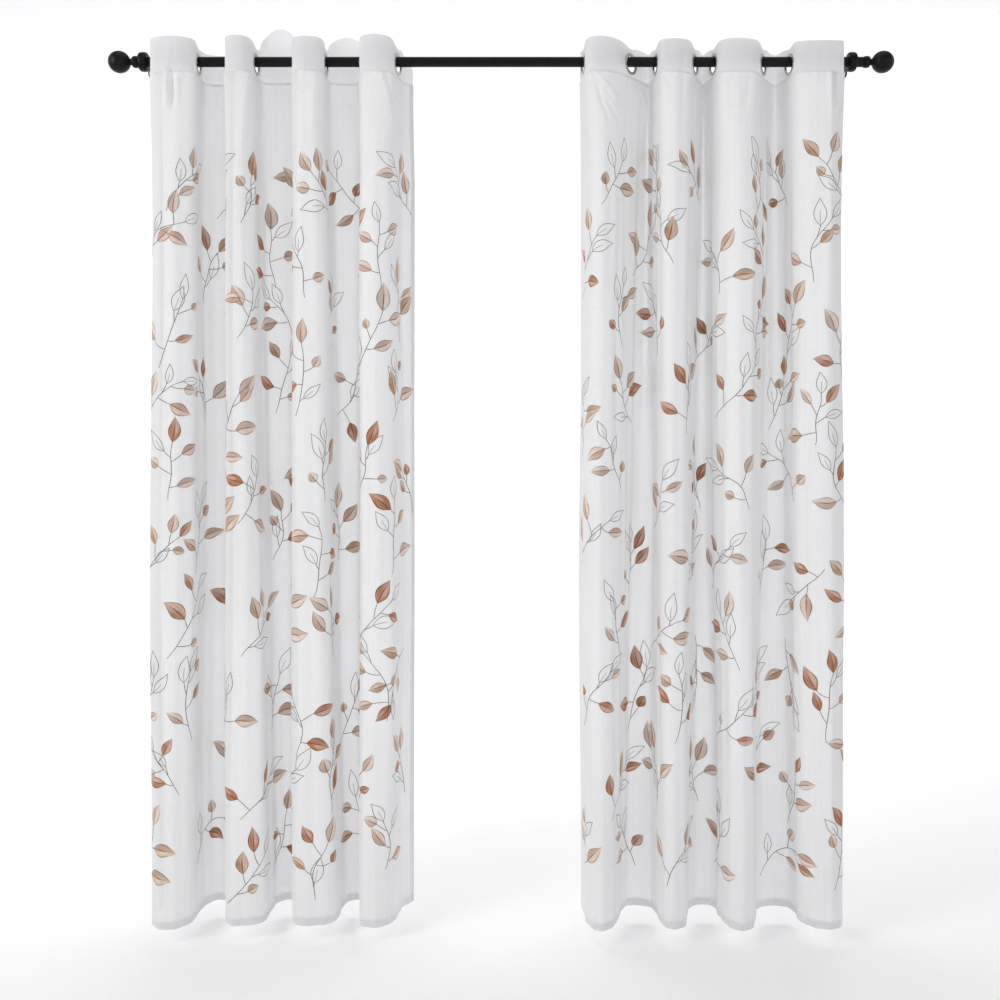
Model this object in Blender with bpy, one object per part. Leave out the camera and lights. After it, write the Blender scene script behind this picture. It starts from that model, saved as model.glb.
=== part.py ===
"""A pair of sheer eyelet curtains on one rod, with two ball finials and two wall brackets.

Metres, +Z up. The room is on the -Y side and the wall on the +Y side. The origin is the middle of
the left wall plate's back face. Inside the parent empty, the rod's axis is the X axis.
"""
import bpy
import math
from collections import namedtuple
from mathutils import Matrix, Vector

MM = 0.001

# Driving sizes
GAP = 0.3 * MM                  # clearance between pieces that touch
ROD_RADIUS = 14 * MM
ROD_LEFT = -1017.2 * MM         # ends of the rod, measured from the middle of the window
ROD_RIGHT = 1023.1 * MM
ROD_SIDES = 32
WALL_DISTANCE = 100 * MM        # rod axis to the wall
BRACKET_LEFT = -1004.6 * MM     # middles of the two brackets along the rod
BRACKET_RIGHT = 991 * MM

DROP_TOP = 44.5 * MM            # top edge above the rod's axis
HEADING_HEIGHT = 92.5 * MM      # top edge to the heading's stitch line
CURTAIN_LENGTH = 2450 * MM      # top edge to the hem's edge
CLOTH = 1.0 * MM                # panel thickness
HEADING_CLOTH = 1.2 * MM        # the heading is two layers

EYELET_OUTER = 30 * MM
EYELET_INNER = 22 * MM
EYELET_HALF = 2.7 * MM          # half of the eyelet's thickness
EYELET_LIP = 1.4 * MM           # half of the straight part of its inner wall
EYELET_INNER_ROUND = 1.9 * MM   # how far its face is set back at the inner edge, and at the outer one
EYELET_OUTER_ROUND = 1.7 * MM
EYELET_SIDES = 16
HOLE_RADIUS = 25 * MM           # hole in the heading under each eyelet
FLAT_AT_EYELET = 31 * MM        # the cloth is flat this far to each side of an eyelet's middle
FLAT_BELOW = 9 * MM             # and this far once the fold is free of the heading
FREE_BELOW = 300 * MM           # where that is, below the stitch line

STEPS_PER_FOLD = 9              # sections along each fold's curve
SHOULDER = 0.55                 # place of the first mark of a fold's curve, as a share of its handle
CURVE_REACH = (5 * SHOULDER + 10) / 16  # how far the curve stands out, as a share of its handle
TOP_CURVE = 0.8                 # below 1, a fold's top edge is a broad arch
HANDLE_HALVINGS = 40            # halvings in the search for a fold's handle
ROW_DROPS = (0, 0.07, 0.22, 0.62, 1.15, 1.75)  # rows below the heading's stitch line, above the hem's

# One row for each eyelet, from left to right. x is its place along the rod and hem_x the place of the
# same line at the hem. turn is how far the cloth leans from square to the rod there, in degrees.
# depth is how far the fold that follows stands out in front of the rod or behind it, and rise how far
# that fold's top edge stands above the rest.
Eyelet = namedtuple("Eyelet", "x turn hem_x hem_turn depth rise")
LEFT_EYELETS = (
    Eyelet(-970, -3, -971, -3, 66, 6),
    Eyelet(-850, -3.5, -852, 4, 70, -3),
    Eyelet(-761, -2, -768, -2, 74, 6),
    Eyelet(-687, 3, -651, 4, 58, 69),
    Eyelet(-578, 1, -583, -1, 72, 4),
    Eyelet(-491, 0, -456, 5, 62, 46),
    Eyelet(-392, 2, -392, -1, 66, 12),
    Eyelet(-288, 14, -286, 9, 0, 0),
)
RIGHT_EYELETS = (
    Eyelet(235, 5, 234, 5, 76, 6),
    Eyelet(369, 41, 338, 16, 80, 0),
    Eyelet(439, 5, 443, 4, 66, 1),
    Eyelet(550, 27, 529, 12, 80, 0),
    Eyelet(602, 10, 619, 4, 66, 2),
    Eyelet(742, 30, 719, 12, 80, 0),
    Eyelet(816, 9, 833, 5, 60, -4),
    Eyelet(954, -4, 957, -3, 0, 0),
)
# The cloth past the first and the last eyelet: its length, how far it curls along the rod, in degrees,
# and how far its top corner hangs below the rest
Tail = namedtuple("Tail", "length curl fall")
LEFT_TAILS = (Tail(50, 4, 0), Tail(88, 70, 42))
RIGHT_TAILS = (Tail(50, 4, 0), Tail(50, 6, 0))
TAIL_STEPS = 3

# Turned profile of a finial: distance from the rod's end and radius, up to the neck of its ball
FINIAL_PROFILE_MM = ((0, 0), (0, 12.5), (2.5, 15.6), (9.5, 16.3), (16.5, 15.6), (19, 12.2), (22.5, 9))
BALL_RADIUS = 30.5 * MM
BALL_CENTRE = 56 * MM
BALL_NECK = 8.8 * MM
BALL_STEPS = 9
FINIAL_SIDES = 24

# Turned profiles of a bracket: its barrel round the rod, and its arm from the barrel to the wall
BARREL_PROFILE_MM = ((-11, 0), (-11, 23.5), (-7, 26.2), (0, 27), (7, 26.2), (11, 23.5), (11, 0))
ARM_PROFILE_MM = ((17, 0), (17, 9), (62, 9), (80, 11.5), (91, 17), (94, 22), (98.8, 22), (100, 20.8), (100, 0))
BRACKET_SIDES = 24
BORE_REACH = 20 * MM            # half lengths of the shapes that cut the bores and the eyelet holes
HOLE_REACH = 4 * MM


def clear_scene():
    for thing in list(bpy.data.objects):
        bpy.data.objects.remove(thing)


def material(name, colour, roughness, metallic=0.0):
    made = bpy.data.materials.new(name)
    made.use_nodes = True
    shader = made.node_tree.nodes["Principled BSDF"]
    shader.inputs["Base Color"].default_value = (*colour, 1)
    shader.inputs["Roughness"].default_value = roughness
    shader.inputs["Metallic"].default_value = metallic
    return made


def add_object(name, mesh, look, parent):
    thing = bpy.data.objects.new(name, mesh)
    bpy.context.scene.collection.objects.link(thing)
    thing.parent = parent
    if look:
        mesh.materials.append(look)
    return thing


def mesh_of(name, points, faces, smooth_below=None):
    mesh = bpy.data.meshes.new(name)
    mesh.from_pydata(points, [], faces)
    mesh.validate()
    if smooth_below:
        mesh.shade_smooth()
        mesh.set_sharp_from_angle(angle=math.radians(smooth_below))
    return mesh


def turned_mesh(name, profile, sides, closed=False):
    """A profile of (along, radius) turned round the X axis, with one point where it meets the axis."""
    points = []
    rings = []
    for along, radius in profile:
        count = sides if radius > 0 else 1
        rings.append(range(len(points), len(points) + count))
        for k in range(count):
            angle = 2 * math.pi * k / sides
            points.append((along, -radius * math.sin(angle), radius * math.cos(angle)))
    faces = []
    pairs = list(zip(rings, rings[1:]))
    if closed:
        pairs.append((rings[-1], rings[0]))
    for here, there in pairs:
        for k in range(sides):
            after = (k + 1) % sides
            corners = [here[k % len(here)], there[k % len(there)]]
            corners += [there[after % len(there)], here[after % len(here)]]
            faces.append(tuple(dict.fromkeys(reversed(corners))))
    return mesh_of(name, points, faces, smooth_below=35)


def in_metres(profile_mm):
    return [(along * MM, radius * MM) for along, radius in profile_mm]


def plug_profile(reach, radius):
    return [(-reach, 0), (-reach, radius), (reach, radius), (reach, 0)]


def cut(thing, cutter):
    """Cuts one closed shape out of another, and leaves the cutter as a hidden guide."""
    cutter.hide_render = True
    cutter.display_type = "WIRE"
    hole = thing.modifiers.new("Cut " + cutter.name, "BOOLEAN")
    hole.operation = "DIFFERENCE"
    hole.solver = "EXACT"
    hole.object = cutter


# Rod, finials and brackets

def build_rod(parent, look):
    profile = [(ROD_LEFT, 0), (ROD_LEFT, ROD_RADIUS), (ROD_RIGHT, ROD_RADIUS), (ROD_RIGHT, 0)]
    add_object("rod", turned_mesh("rod", profile, ROD_SIDES), look, parent)


def build_finials(parent, look):
    profile = in_metres(FINIAL_PROFILE_MM)
    neck_angle = math.asin(BALL_NECK / BALL_RADIUS)
    for k in range(BALL_STEPS + 1):
        angle = neck_angle + (math.pi - neck_angle) * k / BALL_STEPS
        radius = BALL_RADIUS * math.sin(angle) if k < BALL_STEPS else 0
        profile.append((BALL_CENTRE - BALL_RADIUS * math.cos(angle), radius))
    mesh = turned_mesh("finial", profile, FINIAL_SIDES)
    right = add_object("finial_right", mesh, look, parent)
    right.location.x = ROD_RIGHT + GAP
    left = add_object("finial_left", mesh, None, parent)
    left.location.x = ROD_LEFT - GAP
    left.rotation_euler.z = math.pi


def build_bracket(name, middle, parent, look):
    barrel = turned_mesh(name, in_metres(BARREL_PROFILE_MM), BRACKET_SIDES)
    bracket = add_object(name, barrel, look, parent)
    bracket.location.x = middle
    arm_mesh = turned_mesh(name + "_arm", in_metres(ARM_PROFILE_MM), BRACKET_SIDES)
    arm_mesh.transform(Matrix.Rotation(math.radians(90), 4, "Z"))
    arm = add_object(name + "_arm", arm_mesh, None, parent)
    arm.location.x = middle
    arm.hide_render = True
    arm.display_type = "WIRE"
    joined = bracket.modifiers.new("Arm", "BOOLEAN")
    joined.operation = "UNION"
    joined.solver = "EXACT"
    joined.object = arm
    bore_radius = (ROD_RADIUS + GAP) / math.cos(math.pi / ROD_SIDES)
    bore_mesh = turned_mesh(name + "_bore", plug_profile(BORE_REACH, bore_radius), ROD_SIDES)
    bore = add_object(name + "_bore", bore_mesh, None, parent)
    bore.location.x = middle
    cut(bracket, bore)


# Cloth: one curve in plan for each height, made of a stretch for each fold

def curve_point(marks, t):
    """The point at share t of the smooth curve that these marks draw out."""
    last = len(marks) - 1
    place = Vector((0, 0))
    for k, mark in enumerate(marks):
        place += mark * (math.comb(last, k) * (1 - t) ** (last - k) * t ** k)
    return place


def fold_points(start, start_way, end, end_way, handle):
    """The curve of one fold between two flat spots, which it leaves and meets in line."""
    marks = (
        start,
        start + start_way * (handle * SHOULDER),
        start + start_way * handle,
        end - end_way * handle,
        end - end_way * (handle * SHOULDER),
        end,
    )
    return [curve_point(marks, k / STEPS_PER_FOLD) for k in range(STEPS_PER_FOLD + 1)]


def path_length(points):
    return sum((b - a).length for a, b in zip(points, points[1:]))


def way_at(turn, forward):
    """Direction of the cloth at an eyelet: out towards the room, or back towards the wall."""
    lean = math.radians(turn)
    return Vector((math.sin(lean), -math.cos(lean) if forward else math.cos(lean)))


def solved_handle(start, start_way, end, end_way, length):
    """The handle that gives a fold its length, because the cloth neither stretches nor shrinks."""
    low, high = 0.0, 2 * length
    for _ in range(HANDLE_HALVINGS):
        handle = (low + high) / 2
        if path_length(fold_points(start, start_way, end, end_way, handle)) < length:
            low = handle
        else:
            high = handle
    return handle


def fold_ends(first, second, index, blend, flat):
    """Where a fold's curve starts and ends at one height, and its directions there."""
    def along(eyelet):
        return (eyelet.x + (eyelet.hem_x - eyelet.x) * blend) * MM

    def turn(eyelet):
        return eyelet.turn + (eyelet.hem_turn - eyelet.turn) * blend

    forward = index % 2 == 0
    start_way = way_at(turn(first), forward)
    end_way = way_at(turn(second), not forward)
    start = Vector((along(first), 0)) + start_way * flat
    end = Vector((along(second), 0)) - end_way * flat
    return start, start_way, end, end_way


def fold_lengths(eyelets):
    """Cloth in each fold between two eyelets' middles, from its width and depth at the rod."""
    lengths = []
    for index, (first, second) in enumerate(zip(eyelets, eyelets[1:])):
        ends = fold_ends(first, second, index, 0, FLAT_AT_EYELET)
        handle = (first.depth * MM - FLAT_AT_EYELET) / CURVE_REACH
        lengths.append(path_length(fold_points(*ends, handle)) + 2 * FLAT_AT_EYELET)
    return lengths


def tail_points(start, way, tail, flat, toward_end):
    """The loose edge past an end eyelet, back towards the wall, curling along the rod."""
    step = (tail.length * MM - flat) / TAIL_STEPS
    place = start + way * flat
    points = [place.copy()]
    side = 1 if toward_end else -1
    for k in range(TAIL_STEPS):
        bend = math.radians(tail.curl) * (k + 1) / TAIL_STEPS * side
        heading = Vector((math.sin(bend), math.cos(bend)))
        place = place + (way + heading).normalized() * step
        points.append(place.copy())
    return points


def section(eyelets, tails, lengths, blend, flat):
    """The curtain's plan at one height, from its left edge to its right edge."""
    first, last = eyelets[0], eyelets[-1]
    first_x = (first.x + (first.hem_x - first.x) * blend) * MM
    last_x = (last.x + (last.hem_x - last.x) * blend) * MM
    back_of_first = -way_at(first.turn + (first.hem_turn - first.turn) * blend, True)
    back_of_last = way_at(last.turn + (last.hem_turn - last.turn) * blend, False)
    points = tail_points(Vector((first_x, 0)), back_of_first, tails[0], flat, False)[::-1]
    for index, (left, right) in enumerate(zip(eyelets, eyelets[1:])):
        ends = fold_ends(left, right, index, blend, flat)
        handle = solved_handle(*ends, lengths[index] - 2 * flat)
        points += fold_points(*ends, handle)
    points += tail_points(Vector((last_x, 0)), back_of_last, tails[1], flat, True)
    return points


def top_edge(eyelets, tails):
    """Height of the top edge at each point of the section."""
    falls = [[tail.fall * MM * k / TAIL_STEPS for k in range(TAIL_STEPS + 1)] for tail in tails]
    heights = [DROP_TOP - fall for fall in reversed(falls[0])]
    for left in eyelets[:-1]:
        for k in range(STEPS_PER_FOLD + 1):
            arch = max(math.sin(math.pi * k / STEPS_PER_FOLD), 0) ** TOP_CURVE
            heights.append(DROP_TOP + left.rise * MM * arch)
    return heights + [DROP_TOP - fall for fall in falls[1]]


def sheet_object(name, rows, thickness, look, parent):
    """A solid sheet from rows of points, each row one section at its own height."""
    columns = len(rows[0])
    points = [point for row in rows for point in row]
    faces = []
    for r in range(len(rows) - 1):
        for c in range(columns - 1):
            here = r * columns + c
            faces.append((here, here + columns, here + columns + 1, here + 1))
    sheet = add_object(name, mesh_of(name, points, faces, smooth_below=60), look, parent)
    solid = sheet.modifiers.new("Thickness", "SOLIDIFY")
    solid.thickness = thickness
    solid.offset = 0
    solid.use_even_offset = True
    return sheet


def build_panel(name, eyelets, tails, look, parent):
    lengths = fold_lengths(eyelets)
    top = DROP_TOP - HEADING_HEIGHT - GAP
    drop = CURTAIN_LENGTH - HEADING_HEIGHT - GAP
    rows = []
    for below in (*ROW_DROPS, drop):
        blend = below / drop
        free = min(below / FREE_BELOW, 1)
        flat = FLAT_AT_EYELET + (FLAT_BELOW - FLAT_AT_EYELET) * free
        plan = section(eyelets, tails, lengths, blend, flat)
        rows.append([(x, y, top - below) for x, y in plan])
    sheet_object(name, rows, CLOTH, look, parent)
    return lengths


def eyelet_drop(turn):
    """How far an eyelet hangs below the rod's axis, resting on the rod with its inner wall."""
    reach = ROD_RADIUS + GAP
    lean = abs(math.radians(turn))
    half_width = reach / math.cos(lean) + EYELET_LIP * math.tan(lean)
    on_top = EYELET_INNER - reach
    if reach * on_top >= half_width ** 2 - reach ** 2:
        return on_top
    spare = (EYELET_INNER ** 2 - half_width ** 2) * (half_width ** 2 - reach ** 2)
    return math.sqrt(spare) / half_width


def eyelet_frame(eyelet, index):
    """Place and turn of an eyelet whose axis is its own X axis."""
    forward = index % 2 == 0
    lean = math.radians(eyelet.turn) * (1 if forward else -1)
    return Matrix.Translation((eyelet.x * MM, 0, -eyelet_drop(eyelet.turn))) @ Matrix.Rotation(lean, 4, "Z")


def build_heading(name, eyelets, tails, lengths, look, parent):
    plan = section(eyelets, tails, lengths, 0, FLAT_AT_EYELET)
    upper = [(x, y, height) for (x, y), height in zip(plan, top_edge(eyelets, tails))]
    lower = [(x, y, DROP_TOP - HEADING_HEIGHT) for x, y in plan]
    heading = sheet_object(name, [upper, lower], HEADING_CLOTH, look, parent)
    hole_mesh = turned_mesh(name + "_hole", plug_profile(HOLE_REACH, HOLE_RADIUS), EYELET_SIDES)
    for index, eyelet in enumerate(eyelets):
        hole = add_object(f"{name}_hole_{index + 1}", hole_mesh, None, parent)
        hole.matrix_local = eyelet_frame(eyelet, index)
        cut(heading, hole)


def eyelet_mesh():
    """A ring whose two flanges hold the heading's cloth in a groove between them."""
    groove_half = HEADING_CLOTH / 2 + GAP
    groove_radius = HOLE_RADIUS * math.cos(math.pi / EYELET_SIDES) - GAP
    inner = EYELET_INNER / math.cos(math.pi / EYELET_SIDES)
    half = [
        (EYELET_LIP, inner),
        (EYELET_HALF, inner + EYELET_INNER_ROUND),
        (EYELET_HALF, EYELET_OUTER - EYELET_OUTER_ROUND),
        (groove_half, EYELET_OUTER),
        (groove_half, groove_radius),
    ]
    other_half = [(-along, radius) for along, radius in half]
    return turned_mesh("eyelet", other_half + half[::-1], EYELET_SIDES, closed=True)


def build_eyelets(side, eyelets, mesh, look, parent):
    if not mesh.materials:
        mesh.materials.append(look)
    for index, eyelet in enumerate(eyelets):
        ring = add_object(f"eyelet_{side}_{index + 1}", mesh, None, parent)
        ring.matrix_local = eyelet_frame(eyelet, index)


def main():
    clear_scene()
    black_metal = material("black painted steel", (0.012, 0.013, 0.014), 0.38, 0.6)
    dark_nickel = material("dark nickel", (0.16, 0.155, 0.15), 0.32, 1.0)
    voile = material("white voile", (0.82, 0.82, 0.84), 0.85)
    double_voile = material("white voile, two layers", (0.86, 0.86, 0.87), 0.85)

    origin = bpy.data.objects.new("curtain_origin", None)
    bpy.context.scene.collection.objects.link(origin)
    origin.location = (-BRACKET_LEFT, -WALL_DISTANCE, 0)

    build_rod(origin, black_metal)
    build_finials(origin, black_metal)
    build_bracket("bracket_left", BRACKET_LEFT, origin, black_metal)
    build_bracket("bracket_right", BRACKET_RIGHT, origin, black_metal)
    ring = eyelet_mesh()
    for side, eyelets, tails in (("left", LEFT_EYELETS, LEFT_TAILS), ("right", RIGHT_EYELETS, RIGHT_TAILS)):
        lengths = build_panel("panel_" + side, eyelets, tails, voile, origin)
        build_heading("heading_" + side, eyelets, tails, lengths, double_voile, origin)
        build_eyelets(side, eyelets, ring, dark_nickel, origin)
        width = sum(lengths) + (tails[0].length + tails[1].length) * MM
        print(f"{side} curtain: {width:.3f} m of cloth, folds", [round(part, 3) for part in lengths])


main()
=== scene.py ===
"""Looks of a pair of sheer eyelet curtains on a black rod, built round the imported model.

Metres, +Z up, in the model's own frame. The wall is the plane y = 0, the room is on the -Y side, and
the origin is the middle of the left wall plate's back face. The rod's axis runs along X.
"""
import bpy
import math
import random
import numpy as np
from collections import namedtuple
from mathutils import Matrix, Vector


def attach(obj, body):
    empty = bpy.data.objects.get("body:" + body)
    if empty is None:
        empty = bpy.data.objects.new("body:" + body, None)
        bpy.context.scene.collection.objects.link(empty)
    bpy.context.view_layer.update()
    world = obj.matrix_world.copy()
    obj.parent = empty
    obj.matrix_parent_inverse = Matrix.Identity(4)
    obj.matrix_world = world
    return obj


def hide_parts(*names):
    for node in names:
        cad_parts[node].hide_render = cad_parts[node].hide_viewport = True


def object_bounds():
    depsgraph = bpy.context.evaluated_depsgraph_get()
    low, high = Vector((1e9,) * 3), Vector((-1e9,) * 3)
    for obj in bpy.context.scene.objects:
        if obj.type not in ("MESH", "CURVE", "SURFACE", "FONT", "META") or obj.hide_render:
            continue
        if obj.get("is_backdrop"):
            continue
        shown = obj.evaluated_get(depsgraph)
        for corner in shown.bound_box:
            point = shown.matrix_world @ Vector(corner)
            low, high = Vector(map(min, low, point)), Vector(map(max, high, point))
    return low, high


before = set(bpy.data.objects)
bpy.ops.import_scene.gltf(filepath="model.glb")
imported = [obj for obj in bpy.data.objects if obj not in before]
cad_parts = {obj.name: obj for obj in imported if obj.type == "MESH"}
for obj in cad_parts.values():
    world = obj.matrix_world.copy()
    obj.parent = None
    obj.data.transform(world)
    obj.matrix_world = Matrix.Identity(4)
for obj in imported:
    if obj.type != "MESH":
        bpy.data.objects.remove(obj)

bl_info = {
    "name": "Sheer Eyelet Curtains",
    "version": (1, 0, 0),
    "blender": (4, 5, 0),
    "location": "View3D > Sidebar > Curtains",
    "description": "Builds a pair of printed voile curtains on a rod, and a plain studio for them",
    "category": "Object",
}

MM = 0.001
SIDES = ("left", "right")

# The colour sockets of the Mix node, which share their names with its other kinds of socket
MIX_A, MIX_B, MIX_RESULT = 6, 7, 2

# Driving sizes, the same as in the part's source. Heights are from the rod's axis.
ROD_RADIUS = 14 * MM
ROD_CLEARANCE = 0.3 * MM
ROD_LEFT = -1017.2 * MM
ROD_RIGHT = 1023.1 * MM
WALL_DISTANCE = 100 * MM
BRACKET_LEFT = -1004.6 * MM
BRACKET_RIGHT = 991 * MM
DROP_TOP = 44.5 * MM
HEADING_HEIGHT = 92.5 * MM
CURTAIN_LENGTH = 2450 * MM
HEADING_CLOTH = 1.2 * MM
SEAM_GAP = 0.3 * MM
STITCH_Z = DROP_TOP - HEADING_HEIGHT - SEAM_GAP
DROP = CURTAIN_LENGTH - HEADING_HEIGHT - SEAM_GAP
# How far the panel goes up under the heading's lower edge, in millimetres
LAP_MM = 6
EYELET_INNER = 22 * MM
EYELET_LIP = 1.4 * MM
HOLE_RADIUS = 24.8 * MM
ORIGIN = Vector((-BRACKET_LEFT, -WALL_DISTANCE, 0))

# How the cloth hangs: flat to either side of an eyelet, less so further down, with a curve between.
# SHOULDER makes the curve rounder, CURVE_REACH is how far it goes out as a share of its handle, and
# HANDLE_HALVINGS is how closely the handle is found. The top edge arches between two eyelets, as a
# power of a sine, and sags at each.
FLAT_AT_EYELET = 31 * MM
FLAT_BELOW = 9 * MM
FREE_BELOW = 300 * MM
SHOULDER = 0.55
CURVE_REACH = (5 * SHOULDER + 10) / 16
HANDLE_HALVINGS = 36
TOP_CURVE = 0.8
TOP_SAG = 9 * MM
TOP_SAG_REACH = 24 * MM

# One row for each eyelet, from left to right. x is its place along the rod and hem_x the place of the
# same line at the hem. turn is how far the cloth leans from square to the rod there, in degrees.
# depth is how far the fold that follows stands out in front of the rod or behind it, and rise how far
# that fold's top edge stands above the rest. All lengths are in millimetres.
Eyelet = namedtuple("Eyelet", "x turn hem_x hem_turn depth rise")
EYELETS = {
    "left": (
        Eyelet(-970, -3, -971, -3, 66, 6),
        Eyelet(-850, -3.5, -852, 4, 70, -3),
        Eyelet(-761, -2, -768, -2, 74, 6),
        Eyelet(-687, 3, -651, 4, 58, 69),
        Eyelet(-578, 1, -583, -1, 72, 4),
        Eyelet(-491, 0, -456, 5, 62, 46),
        Eyelet(-392, 2, -392, -1, 66, 12),
        Eyelet(-288, 14, -286, 9, 0, 0),
    ),
    "right": (
        Eyelet(235, 5, 234, 5, 76, 6),
        Eyelet(369, 41, 338, 16, 80, 0),
        Eyelet(439, 5, 443, 4, 66, 1),
        Eyelet(550, 27, 529, 12, 80, 0),
        Eyelet(602, 10, 619, 4, 66, 2),
        Eyelet(742, 30, 719, 12, 80, 0),
        Eyelet(816, 9, 833, 5, 60, -4),
        Eyelet(954, -4, 957, -3, 0, 0),
    ),
}
# The cloth past the first and the last eyelet: its length, how far it curls along the rod, in degrees,
# and how far its top corner hangs below the rest
Tail = namedtuple("Tail", "length curl fall")
TAILS = {"left": (Tail(50, 4, 0), Tail(88, 70, 42)), "right": (Tail(50, 4, 0), Tail(50, 6, 0))}

# Turned profiles in millimetres, as (distance along, radius)
FINIAL_COLLAR_MM = (
    (0, 11.6), (0.8, 13.2), (2.2, 15), (4.4, 16), (7, 16.4), (10, 16.5), (13, 16.3), (15.4, 15.7),
    (17.2, 14.5), (18.3, 12.6), (19.2, 10.8), (20.6, 9.6), (22.5, 9), (24.6, 8.8),
)
BALL_RADIUS = 30.5
BALL_CENTRE = 56
BALL_NECK = 8.8
BALL_STEPS = 22
BARREL_MM = (
    (-11, 22.4), (-10.6, 23.6), (-9.4, 25), (-7.4, 26.1), (-4.8, 26.7), (-2, 27), (2, 27),
    (4.8, 26.7), (7.4, 26.1), (9.4, 25), (10.6, 23.6), (11, 22.4),
)
ARM_MM = (
    (17, 8.8), (26, 9), (56, 9), (66, 9.3), (74, 10.2), (81, 12), (86.5, 14.4), (90.6, 17.2),
    (92.4, 19.6), (93.4, 21.2), (94.4, 22), (98.6, 22), (99.6, 21.6), (100, 20.8),
)
# Closed section of one eyelet, as (distance along its axis, radius): two flanges with the cloth between
EYELET_HALF_MM = (
    (0.66, 24.5), (0.66, 29.3), (0.9, 29.85), (1.35, 30), (1.85, 29.75), (2.3, 29.1), (2.52, 28.1),
    (2.5, 26.8), (2.42, 25.4), (2.6, 24.4), (2.7, 23.7), (2.6, 23), (2.25, 22.45), (1.7, 22.12), (0.9, 22),
)

# Creases by the heading: the fold that they lie on, counted from the left, their two ends as a share
# of that fold's cloth and a height in millimetres from the rod's axis, half their width, and how far
# they stand out towards the room. A negative depth is a dent.
Crease = namedtuple("Crease", "fold from_share from_z to_share to_z width depth")
CREASES = {
    "left": (
        Crease(0, 0.52, -50, 0.53, -140, 6.5, -12),
        Crease(0, 0.46, -40, 0.47, -150, 10, 6),
        Crease(0, 0.6, -52, 0.59, -130, 8, 6),
        Crease(0, 0.5, 38, 0.49, -20, 10, 2.4),
        Crease(0, 0.57, -50, 0.8, -60, 5, -2.6),
        Crease(0, 0.6, -68, 0.76, -84, 5, -2.4),
        Crease(0, 0.3, -52, 0.42, -74, 6, 2.2),
        Crease(1, 0.36, -60, 0.64, -84, 8, 3.4),
        Crease(1, 0.6, -80, 0.34, -128, 8, -2.6),
        Crease(2, 0.66, -60, 0.58, -260, 9, 3.2),
        Crease(2, 0.4, 20, 0.43, -150, 10, -2.4),
        Crease(2, 0.32, -56, 0.5, -86, 7, 2.2),
        Crease(3, 0.36, -74, 0.6, -112, 9, 3.0),
        Crease(4, 0.36, -78, 0.5, -102, 6, -4.2),
        Crease(4, 0.5, -102, 0.42, -124, 6, -3.8),
        Crease(4, 0.34, -104, 0.44, -84, 7, 3.0),
        Crease(4, 0.62, -50, 0.58, -230, 10, 3.2),
        Crease(4, 0.56, -58, 0.7, -74, 6, 2.6),
        Crease(5, 0.3, -64, 0.68, -96, 8, 4.2),
        Crease(5, 0.3, -90, 0.6, -116, 8, -3.0),
        Crease(6, 0.3, 34, 0.32, -200, 10, 3.8),
        Crease(6, 0.24, 10, 0.26, -120, 7, -2.6),
        Crease(6, 0.66, -50, 0.86, -150, 8, -4.2),
        Crease(6, 0.6, -64, 0.78, -180, 8, 3.4),
    ),
    "right": (
        Crease(0, 0.36, -48, 0.66, -112, 7, 5.0),
        Crease(0, 0.38, -60, 0.46, -130, 6, -5.0),
        Crease(0, 0.46, -130, 0.56, -176, 6, -4.4),
        Crease(0, 0.5, -120, 0.74, -176, 7, -3.4),
        Crease(0, 0.36, 34, 0.4, -30, 10, 2.6),
        Crease(1, 0.3, -66, 0.56, -128, 9, 3.4),
        Crease(2, 0.47, -50, 0.5, -230, 10, 3.0),
        Crease(2, 0.62, 24, 0.6, -150, 9, -2.4),
        Crease(2, 0.3, -54, 0.4, -110, 6, 2.4),
        Crease(3, 0.4, -70, 0.6, -140, 9, 3.0),
        Crease(4, 0.46, -48, 0.42, -220, 10, 3.0),
        Crease(4, 0.62, -60, 0.57, -150, 8, -2.8),
        Crease(4, 0.3, -52, 0.4, -70, 6, 2.2),
        Crease(6, 0.6, -46, 0.6, -150, 7.5, 6),
        Crease(6, 0.66, -52, 0.655, -132, 6.5, -11),
        Crease(6, 0.74, -46, 0.73, -140, 7, 4.2),
        Crease(6, 0.44, 28, 0.42, -110, 10, 2.4),
    ),
}


# Settings that a user would change

def linear(hex_text):
    """An sRGB hex colour as linear red, green and blue."""
    shares = [int(hex_text[i:i + 2], 16) / 255 for i in (1, 3, 5)]
    return tuple(s / 12.92 if s <= 0.04045 else ((s + 0.055) / 1.055) ** 2.4 for s in shares)


def colour_property(name, description, hex_text):
    return bpy.props.FloatVectorProperty(
        name=name, description=description, default=linear(hex_text), size=3, min=0, max=1, subtype="COLOR"
    )


def length_property(name, description, default):
    return bpy.props.FloatProperty(
        name=name, description=description, default=default, min=0, unit="LENGTH", subtype="DISTANCE",
        precision=4,
    )


def share_property(name, description, default):
    return bpy.props.FloatProperty(
        name=name, description=description, default=default, min=0, max=1, subtype="FACTOR"
    )


class CurtainClothSettings(bpy.types.PropertyGroup):
    voile: colour_property("Voile", "Colour of the polyester voile", "#f1f1f2")
    heading: colour_property("Heading", "Colour of the doubled cloth over the heading tape", "#fefeff")
    thread: colour_property("Thread", "Colour of the sewing thread", "#fbfbfd")
    coverage: share_property("Coverage", "How much of what lies behind the threads of one layer hide", 0.79)
    hem: length_property("Hem", "Height of the hem that is turned up to the back", 0.022)
    side_hem: length_property("Side Hem", "Width of the hems that are turned in at the sides", 0.014)
    ripple: length_property("Ripple", "How deep the small ripples in the folds are", 0.0026)


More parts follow.
